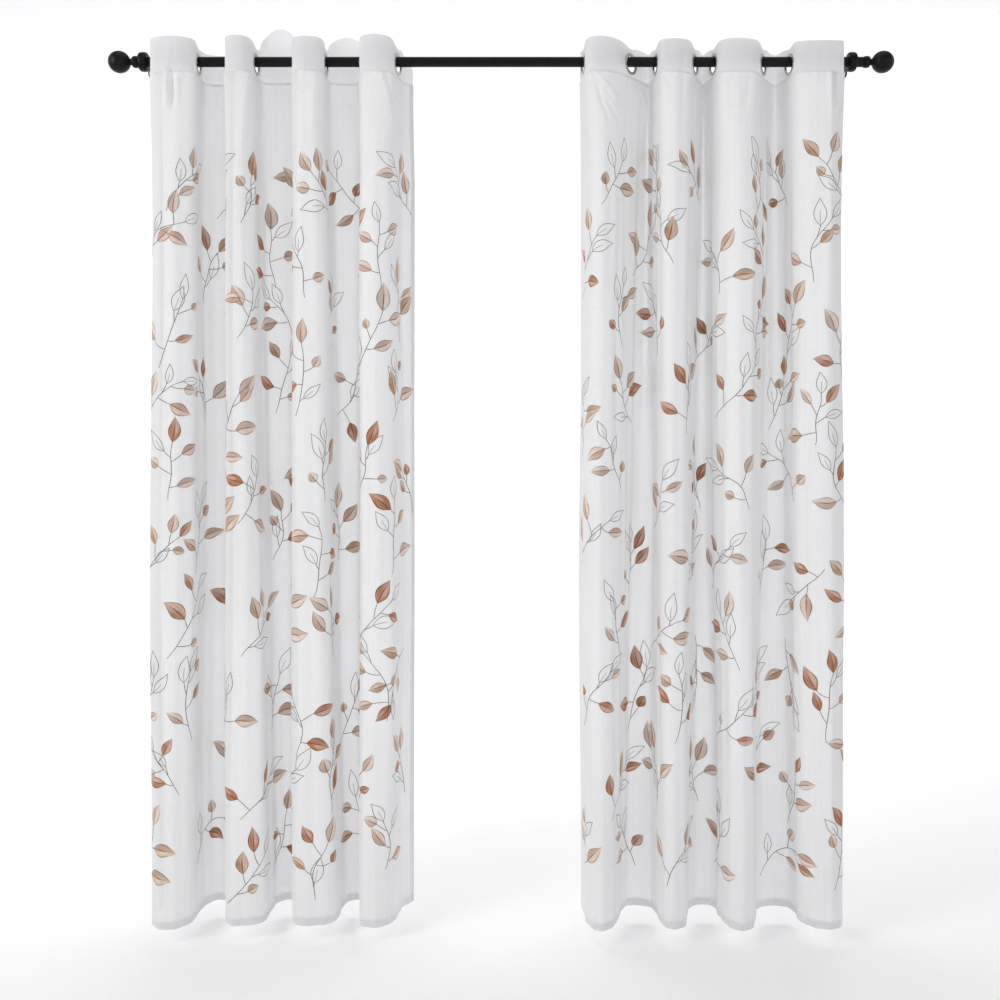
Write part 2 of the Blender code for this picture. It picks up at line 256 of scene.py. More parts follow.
class CurtainPrintSettings(bpy.types.PropertyGroup):
    leaf_length: length_property("Leaf Length", "Usual length of a filled leaf", 0.07)
    leaf_width: length_property("Leaf Width", "Usual width of a filled leaf", 0.0335)
    outline_length: length_property("Outline Length", "Usual length of a leaf drawn as a line", 0.072)
    line_width: length_property("Line Width", "Width of the stems and outlines", 0.0018)
    spacing: length_property("Spacing", "Distance between two sprays", 0.236)
    seed: bpy.props.IntProperty(name="Seed", description="Which layout of the sprays is printed", default=7)
    russet: colour_property("Russet", "The strongest colour of the leaves", "#b77247")
    blush: colour_property("Blush", "The pink of the leaves", "#d5a288")
    straw: colour_property("Straw", "The tan of the leaves", "#c9a876")
    ink: colour_property("Ink", "Colour of the printed stems and outlines", "#4b4644")
    bark: colour_property("Bark", "Colour of the midribs and of the stems next to a leaf", "#5d3626")


class CurtainMetalSettings(bpy.types.PropertyGroup):
    rod: colour_property("Rod", "Colour of the powder coat on rod, finials and brackets", "#07090a")
    eyelet: colour_property("Eyelets", "Colour of the nickel plate on the eyelets", "#bdb9b4")


class CurtainStudioSettings(bpy.types.PropertyGroup):
    distance: length_property("Distance", "From the camera to the rod's axis", 2.75)
    below_rod: length_property("Below Rod", "How far the camera stands below the rod", 0.925)
    floor_gap: length_property("Floor Gap", "From the hem down to the floor", 0.045)
    lens: bpy.props.FloatProperty(
        name="Lens", description="Focal length of the camera", default=35.1, min=10, unit="CAMERA"
    )
    backdrop: colour_property("Backdrop", "Colour of the floor, which curves up into the walls", "#f2f2f3")


# Small tools

def smooth(share):
    share = np.clip(share, 0, 1)
    return share * share * (3 - 2 * share)


def between(top, hem, blend):
    """A value at a height, from its values at the rod and at the hem."""
    return top + (hem - top) * blend


def drop_selection():
    if bpy.context.object and bpy.context.object.mode != "OBJECT":
        bpy.ops.object.mode_set(mode="OBJECT")
    bpy.ops.object.select_all(action="DESELECT")


def pick(thing):
    drop_selection()
    thing.select_set(True)
    bpy.context.view_layer.objects.active = thing


def settle(thing, smooth_below=40):
    """Puts the object's place into its mesh, and shades the edges below that angle smooth."""
    pick(thing)
    bpy.ops.object.transform_apply(location=True, rotation=True, scale=True)
    bpy.ops.object.shade_smooth_by_angle(angle=math.radians(smooth_below))
    thing.select_set(False)
    return thing


def finish_piece(thing, slot, look, *stands_for):
    """Gives a finished piece its material and its body, and hides the model's nodes that it stands for. Its
    slot is not used.
    """
    if look:
        thing.data.materials.clear()
        thing.data.materials.append(look)
    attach(thing, "root")
    if stands_for:
        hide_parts(*stands_for)
    return thing


def linked(name, data):
    """A new object with that data, in the scene."""
    made = bpy.data.objects.new(name, data)
    bpy.context.scene.collection.objects.link(made)
    return made


def leave_edit_mode(merge_within=None, inside=False):
    """Merges the points that lie on one another, turns the faces outwards and leaves edit mode."""
    bpy.ops.mesh.select_all(action="SELECT")
    if merge_within:
        bpy.ops.mesh.remove_doubles(threshold=merge_within)
    bpy.ops.mesh.normals_make_consistent(inside=inside)
    bpy.ops.object.mode_set(mode="OBJECT")


def read_points(mesh):
    found = np.zeros(len(mesh.vertices) * 3)
    mesh.vertices.foreach_get("co", found)
    return found.reshape(-1, 3)


def write_points(mesh, points):
    mesh.vertices.foreach_set("co", np.asarray(points, float).ravel())
    mesh.update()


def write_map(mesh, name, by_point):
    """A UV map from one pair of numbers for each point."""
    layer = mesh.uv_layers.get(name) or mesh.uv_layers.new(name=name)
    corners = np.zeros(len(mesh.loops), int)
    mesh.loops.foreach_get("vertex_index", corners)
    layer.data.foreach_set("uv", np.asarray(by_point, float)[corners].ravel())


def write_attribute(mesh, name, values):
    layer = mesh.attributes.new(name, "FLOAT", "POINT")
    layer.data.foreach_set("value", np.asarray(values, np.float32))


def shade(colour, factor=1.0, plus=0.0):
    """The colour for a socket, darker or lighter."""
    return (*(factor * c + plus for c in colour), 1)


def add_node(tree, kind, links=None, values=None, stops=None, **settings):
    """Adds a shader node with its settings, the values of its sockets, its colour stops and its links."""
    made = tree.nodes.new(kind)
    for name, value in settings.items():
        setattr(made, name, value)
    for socket, value in (values or {}).items():
        made.inputs[socket].default_value = value
    for index, (place, colour) in enumerate(stops or ()):
        if index >= len(made.color_ramp.elements):
            made.color_ramp.elements.new(place)
        made.color_ramp.elements[index].position = place
        made.color_ramp.elements[index].color = shade(colour)
    for socket, source in (links or {}).items():
        tree.links.new(source, made.inputs[socket])
    return made


def new_material(name):
    made = bpy.data.materials.new(name)
    made.use_nodes = True
    made.node_tree.nodes.clear()
    return made, made.node_tree


def finished(made, surface):
    """Hands back the material with that shader as its surface."""
    add_node(made.node_tree, "ShaderNodeOutputMaterial", {"Surface": surface})
    return made


# The hanging cloth: one curve in plan for each height, made of a stretch for each fold

def way_at(eyelet, blend, forward):
    """Direction of the cloth at an eyelet's line: out towards the room, or back towards the wall."""
    lean = np.radians(between(eyelet.turn, eyelet.hem_turn, blend))
    return np.stack([np.sin(lean), -np.cos(lean) if forward else np.cos(lean)], -1)


def line_of(eyelet, blend):
    """Where an eyelet's line down the cloth is, in plan."""
    x = between(eyelet.x, eyelet.hem_x, blend) * MM
    return np.stack([x, 0 * x], -1)


def fold_curve(start, start_way, end, end_way, handle, steps):
    """Points of one fold's curve at every height, as rows by steps by two."""
    share = np.linspace(0, 1, steps + 1)[None, :, None]
    reach = handle[:, None]
    marks = (
        start, start + start_way * reach * SHOULDER, start + start_way * reach,
        end - end_way * reach, end - end_way * reach * SHOULDER, end,
    )
    last = len(marks) - 1
    return sum(
        mark[:, None] * (math.comb(last, k) * (1 - share) ** (last - k) * share ** k)
        for k, mark in enumerate(marks)
    )


def path_length(points):
    return np.linalg.norm(np.diff(points, axis=1), axis=2).sum(axis=1)


class HangingCloth:
    """Where each point of one flat curtain lies when it hangs from its eyelets.

    A point of the flat cloth is its distance from the left edge and its height z, and the folds keep
    the cloth's width the same at every height, because it neither stretches nor shrinks.
    """

    FOLD_STEPS = 28
    TAIL_STEPS = 10
    ROWS = 240
    PITCH = 1.5 * MM

    # The small ripples' widths, in metres
    WAVE_WIDTHS = (0.037, 0.052, 0.071, 0.094, 0.131)
    # Under a flange the cloth is clamped, and it is free some millimetres past its rim
    CLAMPED = 31 * MM
    CLAMP_FADE = 14 * MM
    EYELET_MIDDLE = 8 * MM
    # Puckers drawn up by the seam, some 16 mm apart
    PUCKER_DEPTH = 0.75 * MM
    PUCKER_WIDTH = 0.0163
    PUCKER_GROUPS = 0.083
    PUCKER_REACH = 17 * MM
    PUCKERS_ABOVE_SEAM = 2 * MM
    # The heading's turned edge lifts the cloth below it, which sinks back over some 70 mm
    EDGE_LIFT = 3 * MM
    EDGE_ABOVE_SEAM = 5 * MM
    EDGE_WIDTH = 1.5 * MM
    EDGE_FADE = 70 * MM
    # Slow sway from side to side on the way down
    SWAY = 3.2 * MM
    SWAY_FROM = 0.6

    def __init__(self, side, ripple):
        self.eyelets = EYELETS[side]
        self.tails = TAILS[side]
        self.creases = CREASES[side]
        self.ripple = ripple
        self.lengths = self.fold_lengths()
        self.width = sum(self.lengths) + sum(tail.length for tail in self.tails) * MM
        self.starts = self.tails[0].length * MM + np.concatenate([[0], np.cumsum(self.lengths)])
        self.below = np.linspace(0, DROP, self.ROWS)
        self.across = np.arange(0, self.width + self.PITCH, self.PITCH)
        self.plan = self.sections()
        along = np.gradient(self.plan, axis=1)
        along /= np.linalg.norm(along, axis=2, keepdims=True)
        self.front = np.stack([along[:, :, 1], -along[:, :, 0]], -1)
        self.waves = self.ripple_waves(random.Random(side))

    def fold_ends(self, index, blend, flat):
        first, second = self.eyelets[index:index + 2]
        forward = index % 2 == 0
        start_way = way_at(first, blend, forward)
        end_way = way_at(second, blend, not forward)
        start = line_of(first, blend) + start_way * flat[:, None]
        end = line_of(second, blend) - end_way * flat[:, None]
        return start, start_way, end, end_way

    def fold_lengths(self):
        """Cloth in each fold between two eyelets' middles, from its width and depth at the rod."""
        found = []
        for index in range(len(self.eyelets) - 1):
            ends = self.fold_ends(index, np.zeros(1), np.full(1, FLAT_AT_EYELET))
            handle = np.full(1, (self.eyelets[index].depth * MM - FLAT_AT_EYELET) / CURVE_REACH)
            curve = fold_curve(*ends, handle, self.FOLD_STEPS)
            found.append(float(path_length(curve)[0]) + 2 * FLAT_AT_EYELET)
        return found

    def fold_points(self, index, blend, flat):
        """One fold's curve at every height, with the handle that gives it the fold's length of cloth."""
        ends = self.fold_ends(index, blend, flat)
        wanted = self.lengths[index] - 2 * flat
        low = np.zeros(len(blend))
        high = 2 * wanted
        for _ in range(HANDLE_HALVINGS):
            handle = (low + high) / 2
            short = path_length(fold_curve(*ends, handle, self.FOLD_STEPS)) < wanted
            low = np.where(short, handle, low)
            high = np.where(short, high, handle)
        return fold_curve(*ends, (low + high) / 2, self.FOLD_STEPS)

    def tail_points(self, eyelet, way, tail, blend, flat, side):
        """The loose edge past an end eyelet, back towards the wall, curling along the rod."""
        place = line_of(eyelet, blend) + way * flat[:, None]
        points = [place]
        step = (tail.length * MM - flat)[:, None] / self.TAIL_STEPS
        for k in range(self.TAIL_STEPS):
            bend = math.radians(tail.curl) * ((k + 0.5) / self.TAIL_STEPS + 1 / 6) * side
            lean = way + np.array([math.sin(bend), math.cos(bend)])
            place = place + lean / np.linalg.norm(lean, axis=1, keepdims=True) * step
            points.append(place)
        return np.stack(points, 1)

    def sections(self):
        """The plan at every height, as rows by columns by two, at even steps along the cloth."""
        blend = self.below / DROP
        flat = FLAT_AT_EYELET + (FLAT_BELOW - FLAT_AT_EYELET) * smooth(self.below / FREE_BELOW)
        first, last = self.eyelets[0], self.eyelets[-1]
        back_of_first = -way_at(first, blend, True)
        back_of_last = way_at(last, blend, False)
        parts = [self.tail_points(first, back_of_first, self.tails[0], blend, flat, -1)[:, ::-1]]
        parts += [self.fold_points(index, blend, flat) for index in range(len(self.lengths))]
        parts.append(self.tail_points(last, back_of_last, self.tails[1], blend, flat, 1))
        curves = np.concatenate(parts, axis=1)
        steps = np.linalg.norm(np.diff(curves, axis=1), axis=2)
        travelled = np.concatenate([np.zeros((len(curves), 1)), np.cumsum(steps, axis=1)], axis=1)
        travelled *= self.width / travelled[:, -1:]
        found = np.zeros((len(curves), len(self.across), 2))
        for row, (way, curve) in enumerate(zip(travelled, curves)):
            found[row, :, 0] = np.interp(self.across, way, curve[:, 0])
            found[row, :, 1] = np.interp(self.across, way, curve[:, 1])
        return found

    def ripple_waves(self, dice):
        """Small waves across the cloth that wander on the way down: width, height, sway and phases."""
        return [
            (
                width * dice.uniform(0.9, 1.1), 0.45 + 4 * width, dice.uniform(0.5, 1.3),
                dice.uniform(0.9, 2.2), dice.uniform(0, 6.28), dice.uniform(0, 6.28),
            )
            for width in self.WAVE_WIDTHS
        ]

    def ring_clear(self, across, z):
        """0 under an eyelet's flanges, where the cloth is clamped flat, and 1 away from them."""
        clear = np.ones_like(across)
        for place in self.starts:
            away = np.hypot(across - place, z + self.EYELET_MIDDLE)
            clear *= smooth((away - self.CLAMPED) / self.CLAMP_FADE)
        return clear

    def relief(self, across, z):
        """How far the cloth stands out from its smooth fold: ripples, puckers at the seam and creases."""
        below = np.maximum(STITCH_Z - z, 0)
        grow = 0.16 + 0.84 * smooth(below / 0.5)
        height = np.zeros_like(across)
        for width, share, sway, long, phase, other in self.waves:
            wander = sway * np.sin(2 * math.pi * below / long + other)
            height += share * np.sin(2 * math.pi * across / width + phase + wander)
        height *= self.ripple * grow / 2.2
        from_seam = (z - STITCH_Z - self.PUCKERS_ABOVE_SEAM) / self.PUCKER_REACH
        seam = np.exp(-from_seam ** 2)
        uneven = 0.55 + 0.45 * np.sin(2 * math.pi * across / self.PUCKER_GROUPS + self.waves[0][4])
        puckers = np.sin(2 * math.pi * across / self.PUCKER_WIDTH + 2.1 * np.sin(across * 41))
        height += self.PUCKER_DEPTH * seam * uneven * puckers
        past_edge = (z - STITCH_Z - self.EDGE_ABOVE_SEAM) / self.EDGE_WIDTH
        lifted = 1 / (1 + np.exp(np.clip(past_edge, -40, 40)))
        height += self.EDGE_LIFT * (0.6 + 0.4 * uneven) * lifted * np.exp(-below / self.EDGE_FADE)
        for crease in self.creases:
            start = self.starts[crease.fold]
            length = self.lengths[crease.fold]
            ax, az = start + crease.from_share * length, crease.from_z * MM
            bx, bz = start + crease.to_share * length, crease.to_z * MM
            long = (bx - ax) ** 2 + (bz - az) ** 2
            share = np.clip(((across - ax) * (bx - ax) + (z - az) * (bz - az)) / long, 0, 1)
            away = np.hypot(across - ax - share * (bx - ax), z - az - share * (bz - az))
            thin = 0.55 + 0.45 * np.sin(math.pi * share)
            height += crease.depth * MM * thin * np.exp(-(away / (crease.width * MM)) ** 2)
        return height * self.ring_clear(across, z)

    def at(self, across, z, proud=0.0):
        """World points of the flat cloth's points, that far in front of its middle."""
        across = np.asarray(across, float)
        z = np.asarray(z, float)
        row = np.clip((STITCH_Z - z) / DROP, 0, 1) * (self.ROWS - 1)
        column = np.clip(across / self.PITCH, 0, len(self.across) - 1.001)
        r = np.minimum(row.astype(int), self.ROWS - 2)
        c = column.astype(int)
        s = (row - r)[:, None]
        t = (column - c)[:, None]
        place, front = (
            (table[r, c] * (1 - t) + table[r, c + 1] * t) * (1 - s)
            + (table[r + 1, c] * (1 - t) + table[r + 1, c + 1] * t) * s
            for table in (self.plan, self.front)
        )
        front = front / np.linalg.norm(front, axis=1, keepdims=True)
        place = place + front * (self.relief(across, z) + proud)[:, None]
        below = np.maximum(STITCH_Z - z, 0)
        sway = smooth(below / self.SWAY_FROM) * self.SWAY
        shift = sway * np.sin(across * 9.1 + 1.3) * np.sin(below * 3.4 + across * 2.3)
        return np.column_stack([place[:, 0] + shift + ORIGIN.x, place[:, 1] + ORIGIN.y, z])

    def top_rise(self, across):
        """How far the top edge stands above the rest, or hangs below it at a loose edge."""
        height = np.zeros_like(across)
        for index, eyelet in enumerate(self.eyelets[:-1]):
            inner = self.lengths[index] - 2 * FLAT_AT_EYELET
            share = np.clip((across - self.starts[index] - FLAT_AT_EYELET) / inner, 0, 1)
            height += eyelet.rise * MM * np.maximum(np.sin(math.pi * share), 0) ** TOP_CURVE
        for place in self.starts:
            height -= TOP_SAG * np.exp(-((across - place) / TOP_SAG_REACH) ** 2)
        past_ends = (self.starts[0] - across, across - self.starts[-1])
        for past, tail in zip(past_ends, self.tails):
            loose = tail.length * MM - FLAT_AT_EYELET
            height -= tail.fall * MM * np.clip((past - FLAT_AT_EYELET) / loose, 0, 1)
        return height


def hanging_cloths():
    ripple = bpy.context.scene.curtain_cloth.ripple
    return {side: HangingCloth(side, ripple) for side in SIDES}


def eyelet_drop(turn):
    """How far an eyelet hangs below the rod's axis, resting on the rod with its inner wall."""
    reach = ROD_RADIUS + ROD_CLEARANCE
    lean = abs(math.radians(turn))
    half_width = reach / math.cos(lean) + EYELET_LIP * math.tan(lean)
    on_top = EYELET_INNER - reach
    if reach * on_top >= half_width ** 2 - reach ** 2:
        return on_top
    spare = (EYELET_INNER ** 2 - half_width ** 2) * (half_width ** 2 - reach ** 2)
    return math.sqrt(spare) / half_width


def eyelet_frames(side):
    """Place and turn of each eyelet of one curtain, whose own axis is X."""
    frames = []
    for index, eyelet in enumerate(EYELETS[side]):
        lean = math.radians(eyelet.turn) * (1 if index % 2 == 0 else -1)
        place = ORIGIN + Vector((eyelet.x * MM, 0, -eyelet_drop(eyelet.turn)))
        frames.append(Matrix.Translation(place) @ Matrix.Rotation(lean, 4, "Z"))
    return frames


# Materials

def powder_coated_steel(colour):
    """Steel tube and turned steel with a black powder coat: satin, with a fine orange peel that breaks
    up its highlights, and rubbed a little smoother in places."""
    made, tree = new_material("powder coated steel")
    place = add_node(tree, "ShaderNodeTexCoord").outputs["Object"]
    # Orange peel of a powder coat is about 2 mm from crest to crest
    peel = add_node(
        tree, "ShaderNodeTexNoise", {"Vector": place}, {"Scale": 480.0, "Detail": 2.0, "Roughness": 0.45}
    )
    rubbed = add_node(
        tree, "ShaderNodeTexNoise", {"Vector": place}, {"Scale": 26.0, "Detail": 5.0, "Roughness": 0.62}
    )
    rough = add_node(
        tree, "ShaderNodeMapRange", {"Value": rubbed.outputs["Fac"]},
        {"From Min": 0.3, "From Max": 0.7, "To Min": 0.3, "To Max": 0.46},
    )
    tone = add_node(
        tree, "ShaderNodeMix", {"Factor": rubbed.outputs["Fac"]},
        {MIX_A: shade(colour), MIX_B: shade(colour, 1.8, 0.001)}, data_type="RGBA",
    )
    bump = add_node(
        tree, "ShaderNodeBump", {"Height": peel.outputs["Fac"]}, {"Strength": 0.16, "Distance": 0.0004}
    )
    shader = add_node(
        tree, "ShaderNodeBsdfPrincipled",
        {
            "Base Color": tone.outputs[MIX_RESULT], "Roughness": rough.outputs["Result"],
            "Normal": bump.outputs["Normal"],
        },
        {"Metallic": 0.0, "IOR": 1.52, "Specular IOR Level": 0.17},
    )
    return finished(made, shader.outputs["BSDF"])


def plated_steel(colour):
    """Pressed steel rings with a nickel plate: bright at their rolled rims, with a fine grain from the
    die, and dulled by handling."""
    made, tree = new_material("nickel plated steel")
    place = add_node(tree, "ShaderNodeTexCoord").outputs["Object"]
    # The grain is some 0.1 mm fine on the real ring, and is drawn 0.8 mm coarse here so that it shows
    grain = add_node(tree, "ShaderNodeTexNoise", {"Vector": place}, {"Scale": 1250.0, "Detail": 1.0})
    smears = add_node(
        tree, "ShaderNodeTexNoise", {"Vector": place}, {"Scale": 90.0, "Detail": 4.0, "Roughness": 0.6}
    )
    rough = add_node(
        tree, "ShaderNodeMapRange", {"Value": smears.outputs["Fac"]},
        {"From Min": 0.3, "From Max": 0.7, "To Min": 0.2, "To Max": 0.36},
    )
    tone = add_node(
        tree, "ShaderNodeMix", {"Factor": smears.outputs["Fac"]},
        {MIX_A: shade(colour, 0.72), MIX_B: shade(colour, 1.25)}, data_type="RGBA",
    )
    bump = add_node(
        tree, "ShaderNodeBump", {"Height": grain.outputs["Fac"]}, {"Strength": 0.12, "Distance": 0.0002}
    )
    shader = add_node(
        tree, "ShaderNodeBsdfPrincipled",
        {
            "Base Color": tone.outputs[MIX_RESULT], "Roughness": rough.outputs["Result"],
            "Normal": bump.outputs["Normal"],
        },
        {"Metallic": 1.0},
    )
    return finished(made, shader.outputs["BSDF"])


def yarn_textures(tree, flat):
    """Threads of a plain weave on the cloth's own map, in metres: fine ones both ways, and thicker slubs.

    The real threads are 0.3 mm apart. They are drawn 1.2 mm apart here, so that they show in a close view.
    """
    found = []
    for scale, detail in (((830, 26, 1), 0.0), ((26, 830, 1), 0.0), ((95, 2.2, 1), 1.0)):
        stretched = add_node(tree, "ShaderNodeMapping", {"Vector": flat}, {"Scale": scale})
        noise = add_node(
            tree, "ShaderNodeTexNoise", {"Vector": stretched.outputs["Vector"]},
            {"Scale": 1.0, "Detail": detail}, noise_dimensions="2D",
        )
        found.append(noise.outputs["Fac"])
    return found


def woven_voile(colour, coverage):
    """Sheer polyester voile, plain woven from fine twisted yarn: white and matt with a faint sheen, letting
    light through between and through its threads, and denser where it is seen along its surface."""
    made, tree = new_material("plain woven polyester voile")
    flat = add_node(tree, "ShaderNodeUVMap", uv_map="cloth").outputs["UV"]
    warp, weft, slub = yarn_textures(tree, flat)
    threads = add_node(tree, "ShaderNodeMath", {0: warp, 1: weft}, operation="ADD")
    uneven = add_node(
        tree, "ShaderNodeMath", {0: slub, 2: threads.outputs[0]}, {1: 0.45}, operation="MULTIPLY_ADD"
    )
    centred = add_node(tree, "ShaderNodeMath", {0: uneven.outputs[0]}, {1: 1.22}, operation="SUBTRACT")
    gaps = add_node(
        tree, "ShaderNodeMath", {0: centred.outputs[0]}, {1: -0.055, 2: 1 - coverage},
        operation="MULTIPLY_ADD",
    )
    open_share = add_node(tree, "ShaderNodeClamp", {"Value": gaps.outputs[0]}, {"Min": 0.05, "Max": 0.9})
    # The look through the weave gets longer, and so thicker, as the cloth turns edge on
    slant = add_node(tree, "ShaderNodeLayerWeight", values={"Blend": 0.5})
    square = add_node(tree, "ShaderNodeMath", {1: slant.outputs["Facing"]}, {0: 1.0}, operation="SUBTRACT")
    path = add_node(tree, "ShaderNodeMath", {0: square.outputs[0]}, {1: 0.16}, operation="MAXIMUM")
    longer = add_node(tree, "ShaderNodeMath", {1: path.outputs[0]}, {0: 1.0}, operation="DIVIDE")
    seen_through = add_node(
        tree, "ShaderNodeMath", {0: open_share.outputs[0], 1: longer.outputs[0]}, operation="POWER"
    )
    tone = add_node(
        tree, "ShaderNodeMix", {"Factor": slub},
        {MIX_A: shade(colour, 0.97), MIX_B: shade(colour)}, data_type="RGBA",
    )
    cloth = add_node(
        tree, "ShaderNodeBsdfPrincipled", {"Base Color": tone.outputs[MIX_RESULT]},
        {
            "Roughness": 0.78, "IOR": 1.5, "Specular IOR Level": 0.25, "Sheen Weight": 0.25,
            "Sheen Roughness": 0.45,
        },
    )
    glow = add_node(tree, "ShaderNodeBsdfTranslucent", {"Color": tone.outputs[MIX_RESULT]})
    body = add_node(
        tree, "ShaderNodeMixShader", {1: cloth.outputs["BSDF"], 2: glow.outputs["BSDF"]}, {"Fac": 0.3}
    )
    clear = add_node(tree, "ShaderNodeBsdfTransparent")
    whole = add_node(
        tree, "ShaderNodeMixShader",
        {"Fac": seen_through.outputs[0], 1: body.outputs["Shader"], 2: clear.outputs["BSDF"]},
    )
    return finished(made, whole.outputs["Shader"])


def doubled_voile(colour):
    """Two layers of voile over a stiff woven tape: opaque and matt white, with the same threads as the
    sheer cloth and a soft cloudiness where the layers lie apart."""
    made, tree = new_material("voile doubled over heading tape")
    flat = add_node(tree, "ShaderNodeUVMap", uv_map="cloth").outputs["UV"]
    warp, weft, slub = yarn_textures(tree, flat)
    threads = add_node(tree, "ShaderNodeMath", {0: warp, 1: weft}, operation="ADD")
    clouds = add_node(
        tree, "ShaderNodeTexNoise", {"Vector": flat}, {"Scale": 38.0, "Detail": 3.0, "Roughness": 0.55}
    )
    both = add_node(tree, "ShaderNodeMath", {0: clouds.outputs["Fac"], 1: slub}, operation="MULTIPLY")
    tone = add_node(
        tree, "ShaderNodeMix", {"Factor": both.outputs[0]},
        {MIX_A: shade(colour, 0.98), MIX_B: shade(colour)}, data_type="RGBA",
    )
    bump = add_node(
        tree, "ShaderNodeBump", {"Height": threads.outputs[0]}, {"Strength": 0.28, "Distance": 0.0003}
    )
    cloth = add_node(
        tree, "ShaderNodeBsdfPrincipled",
        {"Base Color": tone.outputs[MIX_RESULT], "Normal": bump.outputs["Normal"]},
        {
            "Roughness": 0.82, "IOR": 1.5, "Specular IOR Level": 0.25, "Sheen Weight": 0.2,
            "Sheen Roughness": 0.5,
        },
    )
    glow = add_node(tree, "ShaderNodeBsdfTranslucent", {"Color": tone.outputs[MIX_RESULT]})
    body = add_node(
        tree, "ShaderNodeMixShader", {1: cloth.outputs["BSDF"], 2: glow.outputs["BSDF"]}, {"Fac": 0.68}
    )
    return finished(made, body.outputs["Shader"])


def sewing_thread(colour):
    """Spun polyester thread: slightly brighter than the cloth, twisted about once each millimetre."""
    made, tree = new_material("spun polyester thread")
    place = add_node(tree, "ShaderNodeTexCoord").outputs["Object"]
    twist = add_node(tree, "ShaderNodeTexNoise", {"Vector": place}, {"Scale": 1000.0, "Detail": 1.0})
    tone = add_node(
        tree, "ShaderNodeMix", {"Factor": twist.outputs["Fac"]},
        {MIX_A: shade(colour, 0.86), MIX_B: shade(colour)}, data_type="RGBA",
    )
    shader = add_node(
        tree, "ShaderNodeBsdfPrincipled", {"Base Color": tone.outputs[MIX_RESULT]},
        {"Roughness": 0.62, "IOR": 1.5, "Sheen Weight": 0.2},
    )
    return finished(made, shader.outputs["BSDF"])


